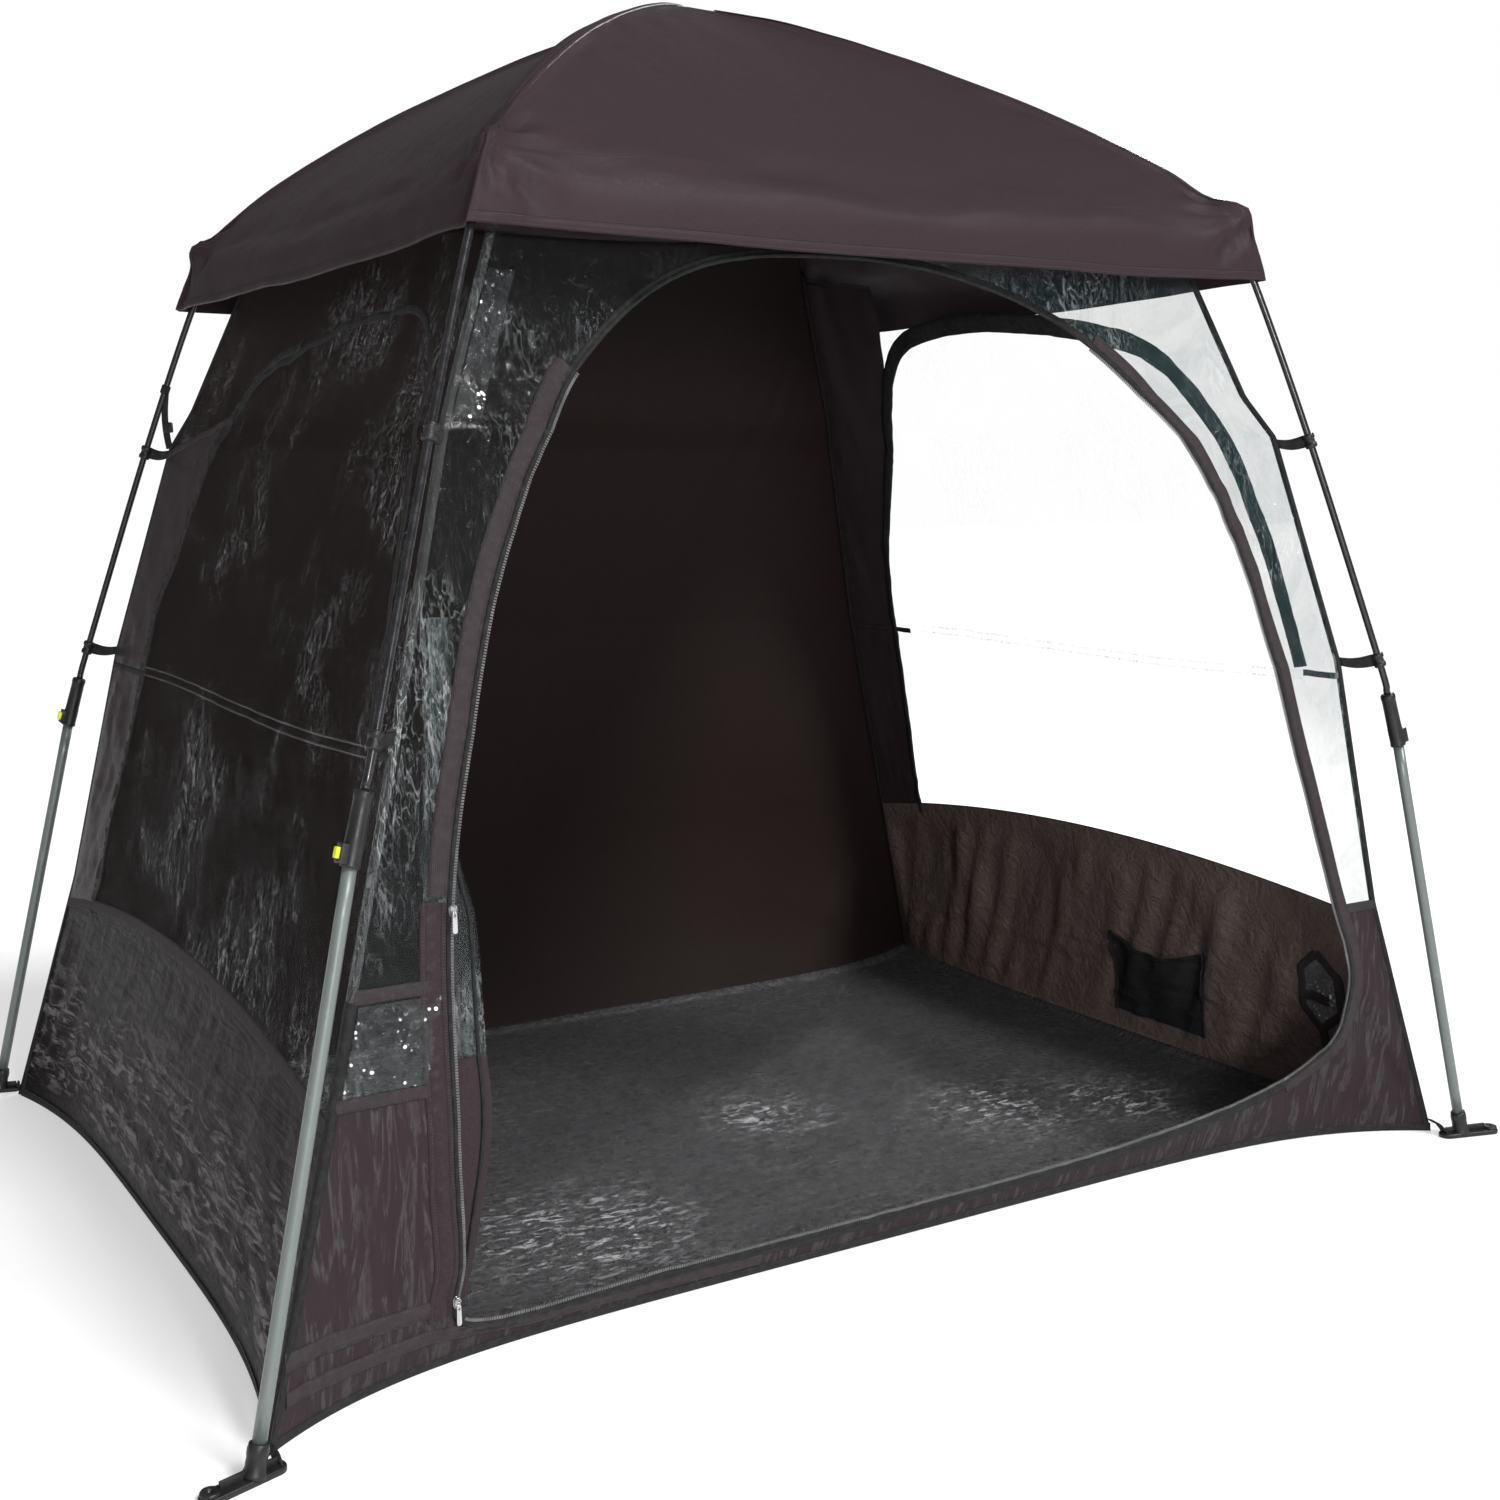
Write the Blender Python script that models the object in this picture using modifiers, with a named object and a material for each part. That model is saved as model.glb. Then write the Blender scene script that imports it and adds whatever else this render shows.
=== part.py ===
"""Pop-up sports weather pod: a bowed pole frame, a hipped canopy and a walled clear enclosure.

Metres, +Z up. The origin is on the ground under the peak, and the door faces -Y.
"""
import math

import bmesh
import bpy
from mathutils import Matrix, Vector

# Leg axis at the front right corner, as half sizes (x, y, z) from foot to elbow
LEG_FOOT = (1.150, 0.885, 0.000)
LEG_SOCKET_TOP = (1.140, 0.882, 0.046)
LEG_TUBE_TOP = (0.981, 0.838, 0.750)
LEG_SLEEVE_TOP = (0.955, 0.830, 0.845)
LEG_LOW_STRAP = (0.937, 0.823, 0.906)
LEG_HIGH_STRAP = (0.821, 0.750, 1.293)
LEG_HEM = (0.732, 0.692, 1.566)
LEG_ELBOW = (0.694, 0.671, 1.648)

# Poles
ROD_R = 0.0060
TUBE_R = 0.0095
SLEEVE_R = 0.0130
ROD_POINTS = 14
ARM_POINTS = 12
ARM_CLEAR = 0.0010
SEAT_GAP = 0.0003
BENT_SEAT_GAP = 0.0008
ELBOW_LEAD = 0.002
# The moulded elbow on top of an upper rod, as (inwards, upwards, radius against the rod's)
ELBOW_STEPS = ((0.008, 0.012, 1.785), (0.016, 0.024, 1.260))
ELBOW_BASE_SWELL = 1.575

# Canopy, as half sizes at the crease and at the hem
CREASE = (0.706, 0.687, 1.680)
HEM = (0.744, 0.705, 1.566)
PEAK_Z = 2.080
HIP_BOW = 0.045
FACE_SAG = 0.030
CANOPY_T = 0.003
CANOPY_LEAN_T = CANOPY_T * 1.2
ROOF_RINGS = 8
SIDE_STEPS = 8

# Hub under the peak
HUB_R = 0.045
HUB_DEPTH = 0.034
HUB_SEAT = 0.0042
HUB_CLEAR = 0.0008
HUB_CONE_R = (0.012, 0.028, 0.0441)
HUB_CHAMFER = 0.002
HUB_FOOT_CHAMFER = 0.006
HUB_BOSS = (0.016, 0.014, 0.012)
HUB_SIDES = 24
ARM_START = 0.045

# Wall corners, as (height, half width, half depth)
WALL_CORNER = (
    (0.00, 1.120, 0.840),
    (0.45, 0.995, 0.790),
    (0.90, 0.893, 0.775),
    (1.30, 0.785, 0.705),
    (1.37, 0.750, 0.665),
    (1.62, 0.650, 0.600),
    (1.80, 0.590, 0.560),
)
WALL_T = 0.003
SEAM = 0.0006
TOP_GAP = 0.003
TOP_CORNER_Z = 1.760
HEM_SAG_FRONT = 0.140
HEM_SAG_SIDE = 0.065
HEM_SAG_TOP = 0.500
SIDE_INSET = 0.0044
SIDE_INSET_LOW = 0.0050
SLICES = {
    "front": (0.20, 0.40, 0.60, 0.75, 0.88, 0.98, 1.06),
    "side": (0.20, 0.40, 0.56, 0.68, 0.77),
}
FLOOR_INSET = 0.0044
HEM_LEVELS = (0.10, 0.20, 0.32)
SLICE_MARGIN = 0.002
LEVEL_MARGIN = 0.010

# Door outline on the front wall, as (x, z), a smooth loop
DOOR_LOOP = (
    (-0.790, 0.058),
    (-0.822, 0.180),
    (-0.832, 0.420),
    (-0.826, 0.680),
    (-0.778, 0.942),
    (-0.700, 1.170),
    (-0.571, 1.377),
    (-0.370, 1.530),
    (-0.097, 1.570),
    (0.160, 1.543),
    (0.387, 1.458),
    (0.553, 1.308),
    (0.655, 1.130),
    (0.730, 0.900),
    (0.810, 0.660),
    (0.885, 0.460),
    (0.930, 0.320),
    (0.905, 0.210),
    (0.800, 0.130),
    (0.600, 0.085),
    (0.350, 0.062),
    (0.000, 0.055),
    (-0.450, 0.052),
)
DOOR_SPAN = 4
TRIM_R = 0.0060
TRIM_CLEAR = 0.0018

# Where the opaque lower panels meet the clear ones
LOWER_LEFT_Z = 0.420
LOWER_RIGHT_Z = 0.455
SIDE_LOWER_END_Z = 0.400
SIDE_LOWER_MID_Z = 0.470
SILL_LEFT_X = -0.750
SILL_RIGHT_X = 0.600
SILL_CUT_Z = 0.300
WINDOW_SPLIT_X = 0.000

# Straps from the poles to the wall corners
STRAP_W = 0.022
STRAP_T = 0.0025
COLLAR_R = 0.0105
COLLAR_H = 0.024
COLLAR_SIDES = 16
COLLAR_BITE = 0.002
STRAP_END_GAP = 0.0005

# Sleeve and its release button, in the sleeve's own frame
BOSS_X = 0.0185
BOSS_HALF_W = 0.0095
BOSS_H = 0.026
BOSS_LOW = 0.003
BUTTON_HALF_W = 0.0060
BUTTON_HALF_H = 0.0075
BUTTON_IN_X = 0.0125
BUTTON_OUT_X = 0.0235
BUTTON_FIT = 0.0005
POCKET_X = 0.0095
SLEEVE_CHAMFER = 0.002
BUTTON_CHAMFER = 0.0015

# Foot
FOOT_OUT = 0.076
FOOT_IN = 0.046
FOOT_HALF_W = 0.015
FOOT_T = 0.008
SOCKET_R = 0.0135
SOCKET_LOW = -0.030
LOOP_IN = 0.012
STAKE_R = 0.0045
LOOP_R = 0.0040

# Door flap folded back behind the left jamb
FLAP_X = (-0.900, -0.790)
FLAP_Z = (0.075, 1.060)
FLAP_T = 0.022
FLAP_BACK = 0.0092
FLAP_NARROW = 0.030
FLAP_LEAN = 0.060
FLAP_STEPS = 16

# Zip sliders and their pulls
ZIP_HIGH_Z = 0.665
ZIP_LOW_Z = 0.110
SLIDER_SIZE = (0.010, 0.0075, 0.016)
PULL_W = 0.0075
PULL_T = 0.0018
PULL_L = 0.030
PIVOT_OUT = 0.0022
BAR_H = 0.0016
EYE_HALF_W = 0.0020
EYE_L = 0.0045
TAB_HOLE_R = 0.0020
TAB_HOLE_UP = 0.0045
PULL_CHAMFER = 0.002
SLIDER_CHAMFER = 0.001
HOOK_W = 0.0026
HOOK_T = 0.0012
HOOK_FIT = 0.00035
HOOK_LIP = 0.0004

CORNERS = {"front_left": (-1, -1), "front_right": (1, -1), "back_left": (-1, 1), "back_right": (1, 1)}


def clear_scene():
    for obj in list(bpy.data.objects):
        bpy.data.objects.remove(obj, do_unlink=True)


def make_material(name, colour, roughness, metallic=0.0, alpha=1.0):
    mat = bpy.data.materials.new(name)
    mat.use_nodes = True
    shader = mat.node_tree.nodes["Principled BSDF"]
    shader.inputs["Base Color"].default_value = (*colour, 1.0)
    shader.inputs["Roughness"].default_value = roughness
    shader.inputs["Metallic"].default_value = metallic
    shader.inputs["Alpha"].default_value = alpha
    return mat


def make_materials():
    return {
        "canopy": make_material("canopy_cloth", (0.060, 0.046, 0.050), 0.62),
        "cloth": make_material("wall_cloth", (0.050, 0.038, 0.042), 0.60),
        "clear": make_material("clear_film", (0.80, 0.86, 0.86), 0.12, alpha=0.3),
        "floor": make_material("woven_floor", (0.060, 0.060, 0.064), 0.45),
        "tube": make_material("grey_tube", (0.42, 0.46, 0.45), 0.38, metallic=0.8),
        "black": make_material("black_plastic", (0.015, 0.015, 0.017), 0.45),
        "rod": make_material("black_rod", (0.020, 0.020, 0.022), 0.35),
        "webbing": make_material("black_webbing", (0.014, 0.014, 0.015), 0.80),
        "button": make_material("yellow_button", (0.62, 0.72, 0.03), 0.40),
        "zip": make_material("zip_metal", (0.55, 0.56, 0.56), 0.30, metallic=0.9),
    }


def link(name, mesh, mat):
    obj = bpy.data.objects.new(name, mesh)
    PARTS.objects.link(obj)
    mesh.materials.clear()
    mesh.materials.append(mat)
    return obj


def mesh_from_bmesh(name, bm):
    mesh = bpy.data.meshes.new(name)
    bmesh.ops.recalc_face_normals(bm, faces=bm.faces)
    bm.to_mesh(mesh)
    bm.free()
    return mesh


def catmull(a, b, c, d, t):
    """Point on the smooth curve through b and c."""
    a, b, c, d = Vector(a), Vector(b), Vector(c), Vector(d)
    return 0.5 * (2 * b + (c - a) * t + (2 * a - 5 * b + 4 * c - d) * t * t
                  + (3 * b - a - 3 * c + d) * t ** 3)


def smooth_loop(points, per_span):
    n = len(points)
    return [catmull(points[i - 1], points[i], points[(i + 1) % n], points[(i + 2) % n], k / per_span)
            for i in range(n) for k in range(per_span)]


def smooth_path(points, count):
    """Evenly spaced points by height along the smooth curve through the given points."""
    ends = [2 * Vector(points[0]) - Vector(points[1])] + [Vector(p) for p in points]
    ends.append(2 * Vector(points[-1]) - Vector(points[-2]))
    spans = len(points) - 1
    path = []
    for k in range(count):
        u = k * spans / (count - 1)
        i = min(int(u), spans - 1)
        path.append(catmull(*ends[i:i + 4], u - i))
    return path


def at_corner(point, sx, sy):
    return Vector((point[0] * sx, point[1] * sy, point[2]))


def tube_curve(name, points, radius, mat, radii=None, cyclic=False):
    """A pole or trim as a bevelled curve with filled caps."""
    curve = bpy.data.curves.new(name, "CURVE")
    curve.dimensions = "3D"
    curve.bevel_depth = radius
    curve.bevel_resolution = 2
    curve.use_fill_caps = not cyclic
    spline = curve.splines.new("POLY")
    spline.points.add(len(points) - 1)
    for i, p in enumerate(points):
        spline.points[i].co = (*p, 1.0)
        spline.points[i].radius = radii[i] if radii else 1.0
    spline.use_cyclic_u = cyclic
    obj = bpy.data.objects.new(name, curve)
    curve.materials.append(mat)
    PARTS.objects.link(obj)
    return obj


def bm_cylinder(radius, low, high, segments=20):
    """A cylinder along Z in a new bmesh."""
    bm = bmesh.new()
    bmesh.ops.create_cone(bm, cap_ends=True, segments=segments, radius1=radius, radius2=radius,
                          depth=high - low)
    bmesh.ops.translate(bm, verts=bm.verts, vec=(0, 0, (high + low) / 2))
    return bm


def bm_box(low, high):
    bm = bmesh.new()
    bmesh.ops.create_cube(bm, size=1.0)
    size = Vector(high) - Vector(low)
    bmesh.ops.scale(bm, verts=bm.verts, vec=size)
    bmesh.ops.translate(bm, verts=bm.verts, vec=(Vector(low) + Vector(high)) / 2)
    return bm


def cutter(name, mesh, matrix):
    obj = bpy.data.objects.new(name, mesh)
    CUTTERS.objects.link(obj)
    obj.matrix_world = matrix
    obj.hide_render = True
    obj.display_type = "WIRE"
    return obj


def boolean(obj, tool, operation):
    mod = obj.modifiers.new(operation.lower(), "BOOLEAN")
    mod.operation = operation
    mod.object = tool
    mod.solver = "EXACT"


def axis_matrix(origin, z_axis, x_hint):
    """A frame at origin with Z along z_axis and X as near x_hint as it can be."""
    z = Vector(z_axis).normalized()
    y = z.cross(Vector(x_hint)).normalized()
    x = y.cross(z)
    return Matrix((
        (x.x, y.x, z.x, origin[0]),
        (x.y, y.y, z.y, origin[1]),
        (x.z, y.z, z.z, origin[2]),
        (0, 0, 0, 1),
    ))


def hip_z(t):
    """Height of the hip line, from 0 at the crease to 1 at the peak."""
    return CREASE[2] + (PEAK_Z - CREASE[2]) * t + HIP_BOW * 4 * t * (1 - t)


def roof_z(x, y):
    """Height of the canopy's outer face over a point on plan."""
    u, v = abs(x) / CREASE[0], abs(y) / CREASE[1]
    edge = max(u, v)
    q = min(u, v) / edge if edge > 0 else 1.0
    return hip_z(1 - edge) - FACE_SAG * edge * (1 - q * q)


def square_ring(half_x, half_y):
    """Plan points round a rectangle's edge."""
    corners = [(-1, -1), (1, -1), (1, 1), (-1, 1)]
    ring = []
    for i, (ax, ay) in enumerate(corners):
        bx, by = corners[(i + 1) % 4]
        for k in range(SIDE_STEPS):
            f = k / SIDE_STEPS
            ring.append((half_x * (ax + (bx - ax) * f), half_y * (ay + (by - ay) * f)))
    return ring


def make_canopy(mats):
    bm = bmesh.new()
    rings = [[(x, y, HEM[2]) for x, y in square_ring(HEM[0], HEM[1])]]
    for k in range(ROOF_RINGS):
        share = 1 - k / ROOF_RINGS
        ring = square_ring(CREASE[0] * share, CREASE[1] * share)
        rings.append([(x, y, roof_z(x, y)) for x, y in ring])
    rows = [[bm.verts.new(p) for p in ring] for ring in rings]
    n = len(rows[0])
    for low, high in zip(rows, rows[1:]):
        for i in range(n):
            bm.faces.new((low[i], low[(i + 1) % n], high[(i + 1) % n], high[i]))
    peak = bm.verts.new((0, 0, PEAK_Z))
    for i in range(n):
        bm.faces.new((rows[-1][i], rows[-1][(i + 1) % n], peak))
    bmesh.ops.triangulate(bm, faces=bm.faces)
    obj = link("canopy", mesh_from_bmesh("canopy", bm), mats["canopy"])
    mod = obj.modifiers.new("thickness", "SOLIDIFY")
    mod.thickness = CANOPY_T
    mod.offset = -1.0
    mod.use_even_offset = True
    return obj


def make_hub(mats):
    """A turned hub with a coned top that the canopy's peak rests on."""
    under = CANOPY_T * 1.06 + HUB_CLEAR
    top = [(r, roof_z(0, r) - under) for r in HUB_CONE_R]
    rim = top[-1][1]
    low = rim - HUB_DEPTH
    boss_r, boss_tip_r, boss_h = HUB_BOSS
    profile = [(0.0, top[0][1])] + top
    profile += [(HUB_R, rim - HUB_CHAMFER), (HUB_R, low + HUB_FOOT_CHAMFER), (HUB_R - HUB_FOOT_CHAMFER, low)]
    profile += [(boss_r, low), (boss_tip_r, low - boss_h), (0.0, low - boss_h)]
    bm = bmesh.new()
    verts = [bm.verts.new((r, 0, z)) for r, z in profile]
    for a, b in zip(verts, verts[1:]):
        bm.edges.new((a, b))
    mesh = bpy.data.meshes.new("roof_hub")
    bm.to_mesh(mesh)
    bm.free()
    obj = link("roof_hub", mesh, mats["black"])
    mod = obj.modifiers.new("turn", "SCREW")
    mod.axis = "Z"
    mod.steps = HUB_SIDES
    mod.render_steps = HUB_SIDES
    mod.use_merge_vertices = True
    mod.merge_threshold = 0.0001
    mod.use_normal_calculate = True
    return obj


def arm_drop(t, hip_up):
    """How far an arm's axis lies below the hip line so that it just clears both roof faces."""
    x, y = CREASE[0] * (1 - t), CREASE[1] * (1 - t)
    step = 0.01
    low_x = x - step
    slope_x = (roof_z(low_x, y) - roof_z(low_x - step, y)) / step
    slope_y = (roof_z(low_x, y) - roof_z(low_x, y - step)) / step
    face = Vector((-slope_x, -slope_y, 1)).normalized()
    return (ROD_R + CANOPY_T + ARM_CLEAR) / face.dot(hip_up)


def make_arm(name, sx, sy, mats):
    """A bowed roof arm from the elbow to the hub, under its hip seam."""
    reach = math.hypot(CREASE[0], CREASE[1])
    last = 1 - (HUB_R + HUB_SEAT) / reach
    first = ARM_START
    diagonal = Vector((CREASE[0], CREASE[1], 0)).normalized()
    points = []
    for k in range(ARM_POINTS):
        t = first + (last - first) * k / (ARM_POINTS - 1)
        rise = ((PEAK_Z - CREASE[2]) + HIP_BOW * 4 * (1 - 2 * t)) / reach
        angle = math.atan(rise)
        drop = arm_drop(t, diagonal * math.sin(angle) + Vector((0, 0, math.cos(angle))))
        out = (1 - t) * reach - drop * math.sin(angle)
        z = hip_z(t) - drop * math.cos(angle)
        points.append(at_corner((CREASE[0] * out / reach, CREASE[1] * out / reach, z), sx, sy))
    return tube_curve(name, points, ROD_R, mats["rod"])


def rod_stations():
    return [LEG_SLEEVE_TOP, LEG_LOW_STRAP, LEG_HIGH_STRAP, LEG_HEM, LEG_ELBOW]


def make_upper_rod(name, sx, sy, mats):
    """The bowed upper rod, with its moulded elbow as a swelling at the top."""
    points = smooth_path(rod_stations(), ROD_POINTS)
    points[0] = points[0] + (points[1] - points[0]).normalized() * BENT_SEAT_GAP
    radii = [1.0] * (len(points) - 1) + [ELBOW_BASE_SWELL]
    elbow = Vector(LEG_ELBOW)
    start = elbow + (elbow - Vector(LEG_HEM)).normalized() * ELBOW_LEAD
    inward = Vector((-CREASE[0], -CREASE[1], 0)).normalized()
    for step_in, step_up, swell in ELBOW_STEPS:
        points.append(start + inward * step_in + Vector((0, 0, step_up)))
        radii.append(swell)
    return tube_curve(name, [at_corner(p, sx, sy) for p in points], ROD_R, mats["rod"], radii)


def make_lower_tube(name, sx, sy, mats):
    low, high = Vector(LEG_SOCKET_TOP), Vector(LEG_TUBE_TOP)
    along = (high - low).normalized()
    ends = [low + along * SEAT_GAP, high - along * BENT_SEAT_GAP]
    return tube_curve(name, [at_corner(p, sx, sy) for p in ends], TUBE_R, mats["tube"])


def sleeve_frame(sx, sy):
    """The sleeve's own frame: Z up its axis from its lower end, and X outwards."""
    low, high = at_corner(LEG_TUBE_TOP, sx, sy), at_corner(LEG_SLEEVE_TOP, sx, sy)
    return axis_matrix(low, high - low, (sx, 0, 0))


def make_sleeve(name, sx, sy, mats):
    """The moulded sleeve between tube and rod, with a pocketed boss for its button."""
    matrix = sleeve_frame(sx, sy)
    bm = bm_cylinder(SLEEVE_R, 0.0, (Vector(LEG_SLEEVE_TOP) - Vector(LEG_TUBE_TOP)).length)
    ends = [e for e in bm.edges if abs(e.verts[0].co.z - e.verts[1].co.z) < 1e-6]
    bmesh.ops.bevel(bm, geom=ends, offset=SLEEVE_CHAMFER, segments=2, affect="EDGES")
    obj = link(name, mesh_from_bmesh(name, bm), mats["black"])
    obj.matrix_world = matrix
    boss = mesh_from_bmesh("boss", bm_box((0.002, -BOSS_HALF_W, BOSS_LOW),
                                          (BOSS_X, BOSS_HALF_W, BOSS_LOW + BOSS_H)))
    boolean(obj, cutter(name + "_boss", boss, matrix), "UNION")
    mid = BOSS_LOW + BOSS_H / 2
    half_w, half_h = BUTTON_HALF_W + BUTTON_FIT, BUTTON_HALF_H + BUTTON_FIT
    pocket = mesh_from_bmesh("pocket", bm_box((POCKET_X, -half_w, mid - half_h),
                                              (BOSS_X + 0.01, half_w, mid + half_h)))
    boolean(obj, cutter(name + "_pocket", pocket, matrix), "DIFFERENCE")
    return obj


def make_button(name, sx, sy, mats):
    mid = BOSS_LOW + BOSS_H / 2
    bm = bm_box((BUTTON_IN_X, -BUTTON_HALF_W, mid - BUTTON_HALF_H),
                (BUTTON_OUT_X, BUTTON_HALF_W, mid + BUTTON_HALF_H))
    outer = [e for e in bm.edges if min(v.co.x for v in e.verts) > BUTTON_OUT_X - 0.0001]
    bmesh.ops.bevel(bm, geom=outer, offset=BUTTON_CHAMFER, segments=2, affect="EDGES")
    obj = link(name, mesh_from_bmesh(name, bm), mats["button"])
    obj.matrix_world = sleeve_frame(sx, sy)
    return obj


def foot_outline():
    """The foot plate's outline: a long pad with round ends, and its two holes."""
    arc = 8
    pad = []
    for k in range(arc + 1):
        a = -math.pi / 2 + math.pi * k / arc
        pad.append((FOOT_OUT - FOOT_HALF_W + FOOT_HALF_W * math.cos(a), FOOT_HALF_W * math.sin(a)))
    for k in range(arc + 1):
        a = math.pi / 2 + math.pi * k / arc
        pad.append((-FOOT_IN + FOOT_HALF_W + FOOT_HALF_W * math.cos(a), FOOT_HALF_W * math.sin(a)))
    holes = []
    for centre, radius in ((FOOT_OUT - FOOT_HALF_W, STAKE_R), (LOOP_IN - FOOT_IN, LOOP_R)):
        holes.append([(centre + radius * math.cos(2 * math.pi * k / 12),
                       radius * math.sin(2 * math.pi * k / 12)) for k in range(12)])
    return pad, holes


def plate_mesh(name, outline, holes, thickness):
    """A flat outline with holes, extruded up from Z 0, as a welded mesh."""
    curve = bpy.data.curves.new(name, "CURVE")
    curve.dimensions = "2D"
    curve.fill_mode = "BOTH"
    curve.extrude = thickness / 2
    for loop in [outline] + holes:
        spline = curve.splines.new("POLY")
        spline.points.add(len(loop) - 1)
        for i, (x, y) in enumerate(loop):
            spline.points[i].co = (x, y, 0, 1)
        spline.use_cyclic_u = True
    holder = bpy.data.objects.new(name, curve)
    CUTTERS.objects.link(holder)
    bpy.context.view_layer.update()
    mesh = bpy.data.meshes.new_from_object(holder.evaluated_get(bpy.context.evaluated_depsgraph_get()))
    bpy.data.objects.remove(holder)
    bm = bmesh.new()
    bm.from_mesh(mesh)
    bmesh.ops.remove_doubles(bm, verts=bm.verts, dist=0.00001)
    bmesh.ops.translate(bm, verts=bm.verts, vec=(0, 0, thickness / 2))
    bmesh.ops.recalc_face_normals(bm, faces=bm.faces)
    bm.to_mesh(mesh)
    bm.free()
    return mesh


def make_foot(name, sx, sy, mats):
    """A moulded foot: a flat plate on the ground and a leaning socket for the tube."""
    low, high = at_corner(LEG_FOOT, sx, sy), at_corner(LEG_SOCKET_TOP, sx, sy)
    lean = high - low
    outward = Vector((-lean.x, -lean.y, 0)).normalized()
    pad, holes = foot_outline()
    obj = link(name, plate_mesh(name, pad, holes, FOOT_T), mats["black"])
    obj.matrix_world = axis_matrix(low, (0, 0, 1), outward)
    socket = mesh_from_bmesh("socket", bm_cylinder(SOCKET_R, SOCKET_LOW, lean.length))
    matrix = axis_matrix(low, lean, outward)
    boolean(obj, cutter(name + "_socket", socket, matrix), "UNION")
    ground = mesh_from_bmesh("under_foot", bm_box((-0.2, -0.2, -0.2), (0.2, 0.2, 0.0)))
    boolean(obj, cutter(name + "_ground", ground, Matrix.Translation(low)), "DIFFERENCE")
    return obj


def corner_at(z):
    """Half width and half depth of the walls at a height."""
    for (z0, x0, y0), (z1, x1, y1) in zip(WALL_CORNER, WALL_CORNER[1:]):
        if z <= z1:
            f = (z - z0) / (z1 - z0)
            return x0 + (x1 - x0) * f, y0 + (y1 - y0) * f
    return WALL_CORNER[-1][1:]


def hem_fade(z):
    return max(0.0, 1 - z / HEM_SAG_TOP) ** 2


def hem_pull(s, half, z, depth, power):
    """How far the hem's catenary cut pulls the wall in, fading with height."""
    return depth * hem_fade(z) * max(0.0, 1 - abs(s / half) ** power)


def wall_point(side, s, z):
    """The outer face of a wall at s along it from its middle and at height z."""
    half_x, half_y = corner_at(z)
    if side in ("front", "back"):
        y = half_y - hem_pull(s, half_x, z, HEM_SAG_FRONT, 6)
        return Vector((s, -y if side == "front" else y, z))
    x = half_x - hem_pull(s, half_y, z, HEM_SAG_SIDE, 4)
    return Vector((-x if side == "left" else x, s, z))


def slices(side):
    """Where a wall is cut into strips so that it can follow its curve."""
    right = SLICES["front" if side in ("front", "back") else "side"]
    return sorted([-s for s in right] + [0.0] + list(right))


def half_span(side, z):
    """Half the length of a wall at a height. Side walls fit between front and back walls."""
    half_x, half_y = corner_at(z)
    if side in ("front", "back"):
        return half_x
    return half_y - SIDE_INSET - SIDE_INSET_LOW * hem_fade(z)


def top_z(side, s):
    """Where a wall meets the canopy's underside."""
    z = 1.72
    for _ in range(12):
        p = wall_point(side, s, z)
        z = roof_z(p.x, p.y) - CANOPY_LEAN_T - TOP_GAP
    return z


def wall_outline(side):
    """The wall's outline in its own flat coordinates."""
    heights = [c[0] for c in WALL_CORNER if c[0] < 1.70]
    reach = half_span(side, TOP_CORNER_Z)
    right = [(half_span(side, z), z) for z in heights]
    top = []
    for k in range(9):
        s = reach * (1 - k / 4)
        top.append((s, top_z(side, s)))
    left = [(-s, z) for s, z in reversed(right)]
    return right + top + left


def grow(loop, distance):
    """A loop moved outwards by a distance, in its own plane."""
    n = len(loop)
    area = sum(loop[i][0] * loop[(i + 1) % n][1] - loop[(i + 1) % n][0] * loop[i][1] for i in range(n))
    turn = 1 if area > 0 else -1
    grown = []
    for i in range(n):
        a, b = Vector(loop[i - 1]).xy, Vector(loop[(i + 1) % n]).xy
        along = (b - a).normalized()
        grown.append((loop[i][0] + turn * along.y * distance, loop[i][1] - turn * along.x * distance))
    return grown


def flat_region(name, outline, holes):
    """A filled outline with holes as a flat bmesh in XY."""
    curve = bpy.data.curves.new(name, "CURVE")
    curve.dimensions = "2D"
    curve.fill_mode = "BOTH"
    for loop in [outline] + holes:
        spline = curve.splines.new("POLY")
        spline.points.add(len(loop) - 1)
        for i, (x, y) in enumerate(loop):
            spline.points[i].co = (x, y, 0, 1)
        spline.use_cyclic_u = True
    holder = bpy.data.objects.new(name, curve)
    CUTTERS.objects.link(holder)
    bpy.context.view_layer.update()
    mesh = bpy.data.meshes.new_from_object(holder.evaluated_get(bpy.context.evaluated_depsgraph_get()))
    bpy.data.objects.remove(holder)
    bm = bmesh.new()
    bm.from_mesh(mesh)
    bpy.data.meshes.remove(mesh)
    bmesh.ops.remove_doubles(bm, verts=bm.verts, dist=0.00001)
    bmesh.ops.dissolve_limit(bm, angle_limit=0.01, verts=bm.verts, edges=bm.edges)
    return bm


def slice_at(bm, point, normal, drop=False):
    """Cuts a flat region along a line. With drop, what lies beyond the line goes."""
    geom = list(bm.verts) + list(bm.edges) + list(bm.faces)
    bmesh.ops.bisect_plane(bm, geom=geom, dist=0.00001, plane_co=(*point, 0), plane_no=(*normal, 0),
                           clear_outer=drop)


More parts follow.
